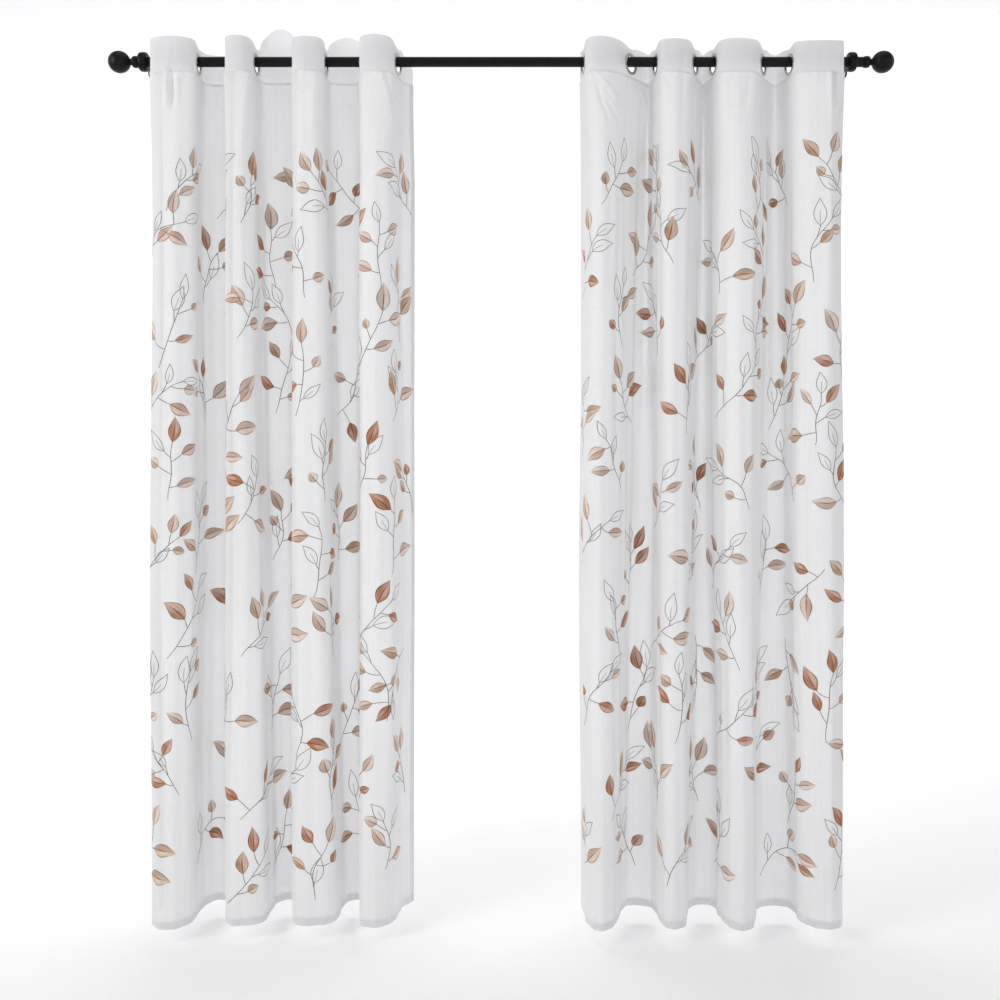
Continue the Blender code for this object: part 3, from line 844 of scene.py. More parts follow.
def pigment_leaf(print_look):
    """Pigment print on the voile in the manner of a watercolour: a wash that pools at the rim and the
    foot of each leaf, one half deeper than the other, and a thin midrib."""
    made, tree = new_material("pigment printed leaf")
    leaf = add_node(tree, "ShaderNodeUVMap", uv_map="leaf").outputs["UV"]
    parts = add_node(tree, "ShaderNodeSeparateXYZ", {"Vector": leaf})
    tint = add_node(tree, "ShaderNodeAttribute", attribute_name="tint").outputs["Fac"]
    hue = add_node(
        tree, "ShaderNodeValToRGB", {"Fac": tint},
        stops=[
            (0.0, print_look.russet), (0.26, [1.1 * c for c in print_look.russet]),
            (0.42, print_look.straw), (0.58, print_look.blush),
            (0.78, [0.9 * c for c in print_look.blush]), (1.0, linear("#b9aa98")),
        ],
    )
    # The wash runs in streaks along the leaf, about seven from edge to edge
    moved = add_node(tree, "ShaderNodeVectorMath", {0: leaf, 1: tint}, operation="ADD")
    streaky = add_node(tree, "ShaderNodeMapping", {"Vector": moved.outputs[0]}, {"Scale": (2.4, 7, 1)})
    wash = add_node(
        tree, "ShaderNodeTexNoise", {"Vector": streaky.outputs["Vector"]},
        {"Scale": 1.0, "Detail": 3.0, "Roughness": 0.6, "Distortion": 0.4},
    )
    toward_tip = add_node(
        tree, "ShaderNodeMapRange", {"Value": parts.outputs["X"]},
        {"From Min": 0.1, "From Max": 1.0, "To Min": -0.7, "To Max": -0.42},
    )
    lighter_leaf = add_node(
        tree, "ShaderNodeMath", {0: tint, 2: toward_tip.outputs["Result"]}, {1: 0.75},
        operation="MULTIPLY_ADD",
    )
    pale = add_node(
        tree, "ShaderNodeMath", {0: wash.outputs["Fac"], 2: lighter_leaf.outputs[0]}, {1: 1.6},
        operation="MULTIPLY_ADD",
    )
    paleness = add_node(tree, "ShaderNodeClamp", {"Value": pale.outputs[0]})
    washed = add_node(
        tree, "ShaderNodeMix", {"Factor": paleness.outputs[0], MIX_A: hue.outputs["Color"]},
        {MIX_B: shade(linear("#f3e4da"))}, data_type="RGBA",
    )
    from_middle = add_node(tree, "ShaderNodeMath", {0: parts.outputs["Y"]}, {1: 0.5}, operation="SUBTRACT")
    deeper_half = add_node(
        tree, "ShaderNodeMapRange", {"Value": from_middle.outputs[0]},
        {"From Min": -0.04, "From Max": 0.05, "To Min": 0.0, "To Max": 0.33},
    )
    halved = add_node(
        tree, "ShaderNodeMix", {"Factor": deeper_half.outputs["Result"], MIX_A: washed.outputs[MIX_RESULT]},
        {MIX_B: shade(print_look.russet, 0.62)}, data_type="RGBA",
    )
    away = add_node(tree, "ShaderNodeMath", {0: from_middle.outputs[0]}, operation="ABSOLUTE")
    rim = add_node(
        tree, "ShaderNodeMapRange", {"Value": away.outputs[0]},
        {"From Min": 0.38, "From Max": 0.5, "To Min": 0.0, "To Max": 0.75},
    )
    rib = add_node(
        tree, "ShaderNodeMapRange", {"Value": away.outputs[0]},
        {"From Min": 0.018, "From Max": 0.052, "To Min": 0.85, "To Max": 0.0},
    )
    rib_end = add_node(
        tree, "ShaderNodeMapRange", {"Value": parts.outputs["X"]},
        {"From Min": 0.55, "From Max": 0.86, "To Min": 1.0, "To Max": 0.0},
    )
    foot = add_node(
        tree, "ShaderNodeMapRange", {"Value": parts.outputs["X"]},
        {"From Min": 0.0, "From Max": 0.16, "To Min": 0.6, "To Max": 0.0},
    )
    ribbed = add_node(
        tree, "ShaderNodeMath", {0: rib.outputs["Result"], 1: rib_end.outputs["Result"]}, operation="MULTIPLY"
    )
    dark = add_node(
        tree, "ShaderNodeMath", {0: ribbed.outputs[0], 1: rim.outputs["Result"]}, operation="MAXIMUM"
    )
    darkest = add_node(
        tree, "ShaderNodeMath", {0: dark.outputs[0], 1: foot.outputs["Result"]}, operation="MAXIMUM"
    )
    drawn = add_node(
        tree, "ShaderNodeMix", {"Factor": darkest.outputs[0], MIX_A: halved.outputs[MIX_RESULT]},
        {MIX_B: shade(print_look.bark)}, data_type="RGBA",
    )
    shader = add_node(
        tree, "ShaderNodeBsdfPrincipled", {"Base Color": drawn.outputs[MIX_RESULT]},
        {"Roughness": 0.85, "IOR": 1.5, "Specular IOR Level": 0.2},
    )
    return finished(made, shader.outputs["BSDF"])


def pigment_line(print_look):
    """The printed stems and outlines: a thin grey-brown line, darker and browner where a leaf sits on it."""
    made, tree = new_material("pigment printed line")
    near_leaf = add_node(tree, "ShaderNodeAttribute", attribute_name="tint").outputs["Fac"]
    flat = add_node(tree, "ShaderNodeUVMap", uv_map="leaf").outputs["UV"]
    # The line breaks up every 5 mm or so, where the pigment missed a thread
    broken = add_node(tree, "ShaderNodeTexNoise", {"Vector": flat}, {"Scale": 210.0, "Detail": 2.0})
    tone = add_node(
        tree, "ShaderNodeMix", {"Factor": near_leaf},
        {MIX_A: shade(print_look.ink), MIX_B: shade(print_look.bark)}, data_type="RGBA",
    )
    worn = add_node(
        tree, "ShaderNodeMix", {"Factor": broken.outputs["Fac"], MIX_A: tone.outputs[MIX_RESULT]},
        {MIX_B: shade(linear("#7d7772"))}, data_type="RGBA",
    )
    shader = add_node(
        tree, "ShaderNodeBsdfPrincipled", {"Base Color": worn.outputs[MIX_RESULT]},
        {"Roughness": 0.85, "IOR": 1.5, "Specular IOR Level": 0.2},
    )
    return finished(made, shader.outputs["BSDF"])


def painted_plaster(colour):
    """Studio floor and walls in matt white emulsion over smooth plaster."""
    made, tree = new_material("matt painted plaster")
    place = add_node(tree, "ShaderNodeTexCoord").outputs["Object"]
    mottle = add_node(tree, "ShaderNodeTexNoise", {"Vector": place}, {"Scale": 1.4, "Detail": 2.0})
    tone = add_node(
        tree, "ShaderNodeMix", {"Factor": mottle.outputs["Fac"]},
        {MIX_A: shade(colour, 0.985), MIX_B: shade(colour)}, data_type="RGBA",
    )
    shader = add_node(
        tree, "ShaderNodeBsdfPrincipled", {"Base Color": tone.outputs[MIX_RESULT]},
        {
            "Roughness": 0.95, "Specular IOR Level": 0.1, "Emission Strength": 0.16,
            "Emission Color": (1, 1, 1, 1),
        },
    )
    # The faint glow stands for the rest of a bright room, and needs no sampling of its own
    made.cycles.emission_sampling = "NONE"
    return finished(made, shader.outputs["BSDF"])


# Rod, finials, brackets and eyelets

# A profile ends on the axis as a ring this small, in millimetres, which is then merged to a point
POINT_RADIUS = 1e-4


def turned(name, profile_mm, sides=64):
    """A solid turned about X: a disc that is extruded from one station of its profile to the next."""
    drop_selection()
    start, first_radius = profile_mm[0]
    bpy.ops.mesh.primitive_circle_add(
        vertices=sides, radius=first_radius * MM, fill_type="NGON", location=(start * MM, 0, 0),
        rotation=(0, math.pi / 2, 0),
    )
    made = bpy.context.object
    made.name = name
    bpy.ops.object.mode_set(mode="EDIT")
    bpy.ops.mesh.select_all(action="SELECT")
    for (was, old_radius), (now, radius) in zip(profile_mm, profile_mm[1:]):
        bpy.ops.mesh.extrude_region_move(TRANSFORM_OT_translate={"value": ((now - was) * MM, 0, 0)})
        scale = max(radius, POINT_RADIUS) / old_radius
        bpy.ops.transform.resize(value=(1, scale, scale), center_override=(now * MM, 0, 0))
    leave_edit_mode(merge_within=0.001 * MM)
    return made


def copy_of(thing, name):
    made = thing.copy()
    made.data = thing.data.copy()
    made.name = name
    made.data.name = name
    bpy.context.scene.collection.objects.link(made)
    return made


def combine(thing, other, operation):
    """Joins another closed shape to this one, or cuts it out, and removes it."""
    pick(thing)
    joined = thing.modifiers.new("Combine", "BOOLEAN")
    joined.operation = operation
    joined.solver = "EXACT"
    joined.object = other
    bpy.ops.object.modifier_apply(modifier=joined.name)
    bpy.data.objects.remove(other)


class CURTAIN_OT_rod(bpy.types.Operator):
    """Build the rod between the two finials"""

    bl_idname = "curtain.rod"
    bl_label = "Rod"

    CHAMFER = 0.8

    def execute(self, context):
        length = (ROD_RIGHT - ROD_LEFT) / MM
        radius = ROD_RADIUS / MM
        profile = (
            (0, radius - self.CHAMFER), (self.CHAMFER, radius), (length / 2, radius),
            (length - self.CHAMFER, radius), (length, radius - self.CHAMFER),
        )
        rod = turned("curtain_rod", profile)
        rod.location += ORIGIN + Vector((ROD_LEFT, 0, 0))
        settle(rod)
        look = powder_coated_steel(context.scene.curtain_metal.rod)
        finish_piece(rod, "rod_metal", look, "rod")
        return {"FINISHED"}


class CURTAIN_OT_finials(bpy.types.Operator):
    """Build the two ball finials, each with its turned collar and neck"""

    bl_idname = "curtain.finials"
    bl_label = "Finials"

    def execute(self, context):
        neck = math.asin(BALL_NECK / BALL_RADIUS)
        profile = list(FINIAL_COLLAR_MM)
        for k in range(1, BALL_STEPS + 1):
            angle = neck + (math.pi - neck) * k / BALL_STEPS
            profile.append((BALL_CENTRE - BALL_RADIUS * math.cos(angle), BALL_RADIUS * math.sin(angle)))
        right = turned("finial_ball_right", profile)
        left = copy_of(right, "finial_ball_left")
        left.rotation_euler.z = math.pi
        left.location = -left.location + ORIGIN + Vector((ROD_LEFT - ROD_CLEARANCE, 0, 0))
        right.location += ORIGIN + Vector((ROD_RIGHT + ROD_CLEARANCE, 0, 0))
        look = bpy.data.materials["powder coated steel"]
        for piece, node_name in ((left, "finial_left"), (right, "finial_right")):
            settle(piece)
            finish_piece(piece, "rod_metal", look, node_name)
        return {"FINISHED"}


class CURTAIN_OT_brackets(bpy.types.Operator):
    """Build the two wall brackets: a barrel round the rod, and an arm that flares to its wall plate"""

    bl_idname = "curtain.brackets"
    bl_label = "Brackets"

    def execute(self, context):
        barrel = turned("wall_bracket_left", BARREL_MM, 72)
        arm = turned("bracket_arm", ARM_MM, 72)
        for piece in (barrel, arm):
            settle(piece)
        arm.data.transform(Matrix.Rotation(math.radians(90), 4, "Z"))
        bore_radius = (ROD_RADIUS + ROD_CLEARANCE) / MM
        combine(barrel, arm, "UNION")
        bore = turned("bracket_bore", ((-30, bore_radius), (30, bore_radius)))
        combine(barrel, bore, "DIFFERENCE")
        right = copy_of(barrel, "wall_bracket_right")
        look = bpy.data.materials["powder coated steel"]
        for piece, middle, node_name in (
            (barrel, BRACKET_LEFT, "bracket_left"), (right, BRACKET_RIGHT, "bracket_right"),
        ):
            piece.location = ORIGIN + Vector((middle, 0, 0))
            settle(piece, 28)
            finish_piece(piece, "rod_metal", look, node_name)
        return {"FINISHED"}


class CURTAIN_OT_eyelets(bpy.types.Operator):
    """Build the sixteen eyelets, each two pressed flanges that clamp the heading between them"""

    bl_idname = "curtain.eyelets"
    bl_label = "Eyelets"

    STEPS_ROUND = 56

    def execute(self, context):
        outline = list(EYELET_HALF_MM) + [(-x, r) for x, r in reversed(EYELET_HALF_MM)]
        drop_selection()
        bpy.ops.mesh.primitive_circle_add(vertices=len(outline), radius=0.003, location=(0, 0, 0))
        pattern = bpy.context.object
        for vertex, (along, radius) in zip(pattern.data.vertices, outline):
            vertex.co = (along * MM, 0, radius * MM)
        bpy.ops.object.mode_set(mode="EDIT")
        bpy.ops.mesh.select_all(action="SELECT")
        bpy.ops.mesh.spin(steps=self.STEPS_ROUND, angle=2 * math.pi, center=(0, 0, 0), axis=(1, 0, 0))
        leave_edit_mode(merge_within=0.01 * MM)
        settle(pattern, 50)
        if len(pattern.data.vertices) != self.STEPS_ROUND * len(outline):
            raise RuntimeError("the eyelet's spin did not close")
        look = plated_steel(context.scene.curtain_metal.eyelet)
        for side in SIDES:
            for index, place in enumerate(eyelet_frames(side)):
                ring = copy_of(pattern, f"eyelet_ring_{side}_{index + 1}")
                ring.data.transform(place)
                finish_piece(ring, "eyelet_metal", look, f"eyelet_{side}_{index + 1}")
        bpy.data.objects.remove(pattern)
        return {"FINISHED"}


# Cloth

COLUMN_WIDTH = 4 * MM


def cloth_grid(name, columns, rows):
    """A flat grid, with the number of the column and of the row of each of its points."""
    drop_selection()
    bpy.ops.mesh.primitive_grid_add(
        x_subdivisions=columns - 1, y_subdivisions=rows - 1, size=1, location=(0, 0, 0)
    )
    made = bpy.context.object
    made.name = name
    made.data.name = name
    points = read_points(made.data)
    column = np.rint((points[:, 0] + 0.5) * (columns - 1)).astype(int)
    row = np.rint((0.5 - points[:, 1]) * (rows - 1)).astype(int)
    while made.data.uv_layers:
        made.data.uv_layers.remove(made.data.uv_layers[0])
    return made, column, row


class CURTAIN_OT_panels(bpy.types.Operator):
    """Build the two sheer panels, each one sheet in folds with its hems turned in to the back"""

    bl_idname = "curtain.panels"
    bl_label = "Sheer Panels"

    SIDE_HEM_BEHIND = 0.8
    HEM_BEHIND = 0.9
    # Rows are closest by the seam, where the cloth puckers, and wider apart below the creases
    PUCKERED_MM = (-LAP_MM, 120, 4.5)
    CREASED_MM = (120, 300, 9)
    LOWER_ROWS = 112
    MAP_MARGIN = 0.002

    def execute(self, context):
        settings = context.scene.curtain_cloth
        look = woven_voile(settings.voile, settings.coverage)
        for side, cloth in hanging_cloths().items():
            self.build_panel(side, cloth, settings, look)
        return {"FINISHED"}

    def build_panel(self, side, cloth, settings, look):
        inner = np.linspace(0, cloth.width, int(cloth.width / COLUMN_WIDTH))
        # A hem's turned edge is one more column or row, which lies behind the cloth
        across = np.concatenate([[settings.side_hem], inner, [cloth.width - settings.side_hem]])
        unfolded = np.concatenate([[-settings.side_hem], inner, [cloth.width + settings.side_hem]])
        edge_back = [self.SIDE_HEM_BEHIND]
        column_back = np.concatenate([edge_back, np.zeros(len(inner)), edge_back]) * MM
        down = np.concatenate([
            np.arange(*self.PUCKERED_MM), np.arange(*self.CREASED_MM),
            np.linspace(self.CREASED_MM[1], DROP / MM, self.LOWER_ROWS),
        ]) * MM
        below = np.concatenate([down, [DROP - settings.hem]])
        below_unfolded = np.concatenate([down, [DROP + settings.hem]])
        row_back = np.concatenate([np.zeros(len(down)), [self.HEM_BEHIND]]) * MM
        panel, column, row = cloth_grid(f"voile_panel_{side}", len(across), len(below))
        behind = column_back[column] + row_back[row]
        write_points(panel.data, cloth.at(across[column], STITCH_Z - below[row], -behind))
        write_map(panel.data, "cloth", np.column_stack([unfolded[column], -below_unfolded[row]]))
        spread = np.column_stack([
            (unfolded[column] - unfolded[0]) / (unfolded[-1] - unfolded[0]),
            1 - (below_unfolded[row] - below[0]) / (below_unfolded[-1] - below[0]),
        ])
        write_map(panel.data, "OFBake", spread * (1 - 2 * self.MAP_MARGIN) + self.MAP_MARGIN)
        settle(panel, 75)
        finish_piece(panel, "voile", look, f"panel_{side}")


class CURTAIN_OT_headings(bpy.types.Operator):
    """Build the two headings: doubled cloth over tape, with a hole for each eyelet"""

    bl_idname = "curtain.headings"
    bl_label = "Headings"

    ROWS = 37

    def execute(self, context):
        look = doubled_voile(context.scene.curtain_cloth.heading)
        for side, cloth in hanging_cloths().items():
            self.build_heading(side, cloth, look)
        return {"FINISHED"}

    def build_heading(self, side, cloth, look):
        across = np.linspace(0, cloth.width, int(cloth.width / COLUMN_WIDTH))
        share = np.linspace(1, 0, self.ROWS)
        heading, column, row = cloth_grid(f"eyelet_heading_{side}", len(across), len(share))
        bottom = STITCH_Z + SEAM_GAP
        tall = HEADING_HEIGHT + cloth.top_rise(across[column])
        z = bottom + share[row] * tall
        write_points(heading.data, cloth.at(across[column], z))
        write_map(heading.data, "cloth", np.column_stack([across[column], z]))
        pick(heading)
        thick = heading.modifiers.new("Thickness", "SOLIDIFY")
        thick.thickness = HEADING_CLOTH
        thick.offset = 0
        bpy.ops.object.modifier_apply(modifier=thick.name)
        for place in eyelet_frames(side):
            drop_selection()
            bpy.ops.mesh.primitive_cylinder_add(
                vertices=40, radius=HOLE_RADIUS, depth=8 * MM, location=(0, 0, 0)
            )
            punch = bpy.context.object
            punch.data.transform(place @ Matrix.Rotation(math.pi / 2, 4, "Y"))
            combine(heading, punch, "DIFFERENCE")
        settle(heading, 60)
        finish_piece(heading, "heading_cloth", look, f"heading_{side}")


class CURTAIN_OT_stitching(bpy.types.Operator):
    """Sew the heading's lower edge and the hem with a row of lock stitches"""

    bl_idname = "curtain.stitching"
    bl_label = "Stitching"

    PITCH = 3.4 * MM
    LENGTH = 2.5 * MM
    THREAD = 0.24 * MM
    MARGIN = 4 * MM
    ABOVE_EDGE = 3 * MM
    BELOW_HEM_TOP = 2.5 * MM

    def execute(self, context):
        settings = context.scene.curtain_cloth
        look = sewing_thread(settings.thread)
        for side, cloth in hanging_cloths().items():
            self.sew(side, cloth, settings, look)
        return {"FINISHED"}

    def sew(self, side, cloth, settings, look):
        drop_selection()
        bpy.ops.mesh.primitive_uv_sphere_add(segments=6, ring_count=4, radius=1, location=(0, 0, 0))
        pattern = bpy.context.object
        shape = read_points(pattern.data)
        faces = [list(face.vertices) for face in pattern.data.polygons]
        bpy.data.objects.remove(pattern)
        rows = (
            (STITCH_Z + self.ABOVE_EDGE, HEADING_CLOTH / 2),
            (STITCH_Z + self.ABOVE_EDGE, -HEADING_CLOTH / 2),
            (STITCH_Z - DROP + settings.hem - self.BELOW_HEM_TOP, 0.1 * MM),
        )
        points = []
        corners = []
        for height, proud in rows:
            middles = np.arange(self.MARGIN, cloth.width - self.MARGIN, self.PITCH)
            across = (middles[:, None] + shape[None, :, 0] * self.LENGTH / 2).ravel()
            z = np.tile(height + shape[:, 2] * self.THREAD, len(middles))
            out = np.tile(proud + shape[:, 1] * self.THREAD, len(middles))
            first = sum(len(block) for block in points)
            points.append(cloth.at(across, z, out))
            for k in range(len(middles)):
                corners += [[first + k * len(shape) + corner for corner in face] for face in faces]
        mesh = bpy.data.meshes.new(f"stitching_{side}")
        mesh.from_pydata(np.concatenate(points).tolist(), [], corners)
        stitches = linked(mesh.name, mesh)
        pick(stitches)
        bpy.ops.object.mode_set(mode="EDIT")
        leave_edit_mode()
        settle(stitches, 80)
        finish_piece(stitches, "heading_cloth", look)


# The print: sprays of leaves on thin stems, laid out on the flat cloth

Leaf = namedtuple("Leaf", "x z way length width curl kind tint")
Line = namedtuple("Line", "points dark_from dark_to")
PRINT_TOP = 0.175
PRINT_FOOT = 0.085
LEAF_LENGTHWAYS = 12
LEAF_ACROSS = 6
LINE_STEP = 6 * MM
SPRAY_TRIES = 30
FEWEST_LEAVES = 2
# Rows of sprays lie closer than columns, and two leaves keep this share of their reaches apart
ROW_SHARE = 0.86
LEAF_ROOM = 0.78


def leaf_half_width(share, kind):
    """Half width along a leaf, as a share of its full width: pointed ovals, and rounder buds."""
    if kind == "bud":
        return 0.5 * np.sin(math.pi * share ** 0.8) ** 0.8
    return 0.5 * np.sin(math.pi * share ** 0.86) ** 1.12 * (1.06 - 0.12 * share)


def leaf_middle(leaf, share):
    """Points and directions along a leaf's midrib, which bends evenly."""
    angle = leaf.way + leaf.curl * share
    if abs(leaf.curl) < 1e-3:
        x = leaf.x + leaf.length * share * math.cos(leaf.way)
        z = leaf.z + leaf.length * share * math.sin(leaf.way)
    else:
        x = leaf.x + leaf.length / leaf.curl * (np.sin(angle) - math.sin(leaf.way))
        z = leaf.z - leaf.length / leaf.curl * (np.cos(angle) - math.cos(leaf.way))
    return x, z, angle


def wander(x, z, way, length, bend, swing):
    """A curved stem as points and directions, turning by bend in all and swinging to and fro."""
    count = max(3, int(length / LINE_STEP) + 1)
    share = (np.arange(count) + 0.5) / count
    angle = way + bend * share + swing * np.sin(2 * math.pi * share)
    step = length / count
    xs = np.concatenate([[x], x + np.cumsum(np.cos(angle)) * step])
    zs = np.concatenate([[z], z + np.cumsum(np.sin(angle)) * step])
    return np.column_stack([xs, zs]), np.concatenate([angle, angle[-1:]])


# Of each kind of leaf: how far it leans from its stem in degrees, and how long its own stalk is. Then
# the kinds of leaf on a spray from its foot to its tip, and where along the stem they sit.
LEANS = {"filled": (42, 96), "outline": (14, 52), "bud": (30, 80)}
STALKS = {"filled": (0.016, 0.046), "outline": (0.012, 0.036), "bud": (0.016, 0.044)}
SPRAYS = (
    ("filled", "filled", "outline", "bud", "outline"), ("bud", "filled", "outline", "filled", "outline"),
    ("filled", "outline", "filled", "filled", "outline"), ("outline", "filled", "bud", "filled", "filled"),
    ("filled", "bud", "filled", "outline", "filled"),
)
STATIONS = (0.26, 0.48, 0.68, 0.85)
TIP = 1.0


def grow_spray(dice, x, z, settings):
    """One spray from its foot up: a main stem with leaves, outlines and buds on alternate sides."""
    up = dice.random() < 0.8
    way = math.radians(dice.uniform(42, 138) if up else dice.uniform(195, 345))
    length = dice.uniform(0.13, 0.2)
    points, angles = wander(x, z, way, length, dice.uniform(-0.9, 0.9), dice.uniform(-0.35, 0.35))
    lines = [Line(points, 0.15, 0.5)]
    leaves = []
    side = dice.choice((-1, 1))
    stations = [share + dice.uniform(-0.05, 0.05) for share in STATIONS] + [TIP]
    for station, kind in zip(stations, dice.choice(SPRAYS)):
        at = min(int(station * (len(points) - 1)), len(points) - 1)
        base_x, base_z = points[at]
        lean = 0.0 if station == TIP else side * math.radians(dice.uniform(*LEANS[kind]))
        stalk_length = dice.uniform(*STALKS[kind]) * (0.35 if station == TIP else 1)
        curl_in = -0.5 * lean * dice.uniform(-0.4, 1.1)
        twig, twig_angles = wander(base_x, base_z, angles[at] + lean, stalk_length, curl_in, 0.0)
        lines.append(Line(twig, 0.55, 1.0 if kind != "outline" else 0.5))
        size = dice.uniform(0.78, 1.14)
        if kind == "outline":
            length_here = settings.outline_length * size
            width_here = length_here * dice.uniform(0.32, 0.46)
        elif kind == "bud":
            length_here = settings.leaf_length * 0.52 * size
            width_here = length_here * dice.uniform(0.7, 0.9)
        else:
            length_here = settings.leaf_length * size
            width_here = settings.leaf_width * size * dice.uniform(0.85, 1.15)
        tip_x, tip_z = twig[-1]
        turn = dice.uniform(-0.35, 0.35)
        leaves.append(Leaf(
            tip_x, tip_z, twig_angles[-1] + turn, length_here, width_here, dice.uniform(-0.6, 0.6), kind,
            dice.random(),
        ))
        side = -side
    return leaves, lines


def leaf_centre(leaf):
    x, z, _ = leaf_middle(leaf, np.array([0.5]))
    return float(x[0]), float(z[0])


def laid_out(side, cloth, settings):
    """All the sprays of one curtain. A leaf that would lie on another, or off the cloth, is left out."""
    dice = random.Random(f"{side} {settings.seed}")
    top = STITCH_Z - PRINT_TOP
    foot = STITCH_Z - DROP + PRINT_FOOT
    rows = round((top - foot) / (settings.spacing * ROW_SHARE))
    columns = round(cloth.width / settings.spacing)
    taken = []
    leaves = []
    lines = []
    for row in range(rows):
        for column in range(columns):
            best = None
            stagger = 0.25 if row % 2 else -0.25
            for _ in range(SPRAY_TRIES):
                x = (column + 0.5 + stagger + dice.uniform(-0.2, 0.2)) * cloth.width / columns
                z = foot + (row + dice.uniform(-0.25, 0.35)) * (top - foot) / rows
                spray = grow_spray(dice, x, z, settings)
                kept = []
                for index, leaf in enumerate(spray[0]):
                    cx, cz = leaf_centre(leaf)
                    reach = leaf.length * 0.5
                    inside = reach < cx < cloth.width - reach and foot + reach * 0.8 < cz < top - reach * 0.5
                    clear = all(math.hypot(cx - a, cz - b) > LEAF_ROOM * (reach + r) for a, b, r in taken)
                    if inside and clear:
                        kept.append(index)
                if best is None or len(kept) > len(best[1]):
                    best = (spray, kept)
                if len(kept) == len(spray[0]):
                    break
            (spray_leaves, spray_lines), kept = best
            if len(kept) < FEWEST_LEAVES:
                continue
            lines.append(spray_lines[0])
            for index in kept:
                leaves.append(spray_leaves[index])
                lines.append(spray_lines[index + 1])
                taken.append((*leaf_centre(spray_leaves[index]), spray_leaves[index].length * 0.5))
    return leaves, lines


class CURTAIN_OT_leaf_print(bpy.types.Operator):
    """Print both panels with sprays of leaves, as thin skins that follow every fold of the cloth"""

    bl_idname = "curtain.leaf_print"
    bl_label = "Leaf Print"

    PROUD = 0.55 * MM
    EDGE_MARGIN = 1 * MM

    def execute(self, context):
        settings = context.scene.curtain_print
        looks = (pigment_leaf(settings), pigment_line(settings))
        for side, cloth in hanging_cloths().items():
            self.lay_print(side, cloth, settings, looks)
        return {"FINISHED"}

    def lay_print(self, side, cloth, settings, looks):
        leaves, lines = laid_out(side, cloth, settings)
        patches = [self.leaf_patch(leaf) for leaf in leaves if leaf.kind != "outline"]
        strips = [
            self.strip(line.points, settings.line_width, line.dark_from, line.dark_to) for line in lines
        ]
        for leaf in leaves:
            if leaf.kind == "outline":
                strips += self.outline_strips(leaf, settings.line_width * 0.9)
        flat, faces, looks_of, maps, tints = [], [], [], [], []
        count = 0
        for look_index, group in enumerate((patches, strips)):
            for points, corners, leaf_map, tint in group:
                flat.append(points)
                faces += (corners + count).tolist()
                looks_of += [look_index] * len(corners)
                maps.append(leaf_map)
                tints.append(tint)
                count += len(points)
        flat = np.concatenate(flat)
        flat[:, 0] = np.clip(flat[:, 0], self.EDGE_MARGIN, cloth.width - self.EDGE_MARGIN)
        world = cloth.at(flat[:, 0], flat[:, 1], self.PROUD)
        mesh = bpy.data.meshes.new(f"leaf_print_{side}")
        mesh.from_pydata(world.tolist(), [], faces)
        mesh.polygons.foreach_set("material_index", looks_of)
        write_map(mesh, "leaf", np.concatenate(maps))
        write_attribute(mesh, "tint", np.concatenate(tints))
        printed = linked(mesh.name, mesh)
        for look in looks:
            mesh.materials.append(look)
        settle(printed, 75)
        finish_piece(printed, "voile", None)

    def leaf_patch(self, leaf):
        """A filled leaf: a small grid from foot to tip, with its own map and tint."""
        share = np.linspace(0.0, 1.0, LEAF_LENGTHWAYS + 1)
        x, z, angle = leaf_middle(leaf, share)
        half = leaf_half_width(np.clip(share, 0.004, 0.996), leaf.kind) * leaf.width
        side = np.linspace(-1, 1, LEAF_ACROSS + 1)
        xs = x[:, None] - np.sin(angle)[:, None] * half[:, None] * side[None, :]
        zs = z[:, None] + np.cos(angle)[:, None] * half[:, None] * side[None, :]
        leaf_map = np.column_stack([
            np.repeat(share, LEAF_ACROSS + 1), np.tile(side * 0.5 + 0.5, LEAF_LENGTHWAYS + 1),
        ])
        corners = []
        for r in range(LEAF_LENGTHWAYS):
            for c in range(LEAF_ACROSS):
                here = r * (LEAF_ACROSS + 1) + c
                corners.append((here, here + LEAF_ACROSS + 1, here + LEAF_ACROSS + 2, here + 1))
        points = np.column_stack([xs.ravel(), zs.ravel()])
        return points, np.array(corners), leaf_map, np.full(len(points), leaf.tint)

    def strip(self, points, width, dark_from, dark_to):
        """A printed line of even width that thins out at its far end."""
        along = np.gradient(points, axis=0)
        along /= np.linalg.norm(along, axis=1, keepdims=True)
        across = np.column_stack([-along[:, 1], along[:, 0]])
        share = np.linspace(0, 1, len(points))
        half = (width / 2 * (0.75 + 0.25 * np.sin(math.pi * share)))[:, None]
        both = np.concatenate([points - across * half, points + across * half])
        n = len(points)
        corners = np.array([(k, k + 1, n + k + 1, n + k) for k in range(n - 1)])
        tint = np.tile(dark_from + (dark_to - dark_from) * share, 2)
        return both, corners, both.copy(), tint

    def outline_strips(self, leaf, width):
        """A leaf drawn as a line round it, with the start of its midrib."""
        share = np.linspace(0, 1, max(12, int(leaf.length / LINE_STEP) + 2))
        x, z, angle = leaf_middle(leaf, share)
        half = leaf_half_width(np.clip(share, 0.001, 0.999), leaf.kind) * leaf.width
        found = []
        for side in (-1, 1):
            edge = np.column_stack([x - side * np.sin(angle) * half, z + side * np.cos(angle) * half])
            found.append(self.strip(edge, width, 0.45, 0.05))
        rib = share < 0.55
        found.append(self.strip(np.column_stack([x, z])[rib], width * 0.7, 0.2, 0.0))
        return found


class CURTAIN_OT_sheets(bpy.types.Operator):
    """Print each curtain's flat cloth width and its heading's mean height"""

    bl_idname = "curtain.sheets"
    bl_label = "Declare Cloth"

    def execute(self, context):
        for side, cloth in hanging_cloths().items():
            mean_height = HEADING_HEIGHT + float(np.mean(cloth.top_rise(cloth.across)))
            print(f"{side}: cloth {cloth.width:.4f} m across, heading {mean_height:.4f} m high on average")
        return {"FINISHED"}


# Studio

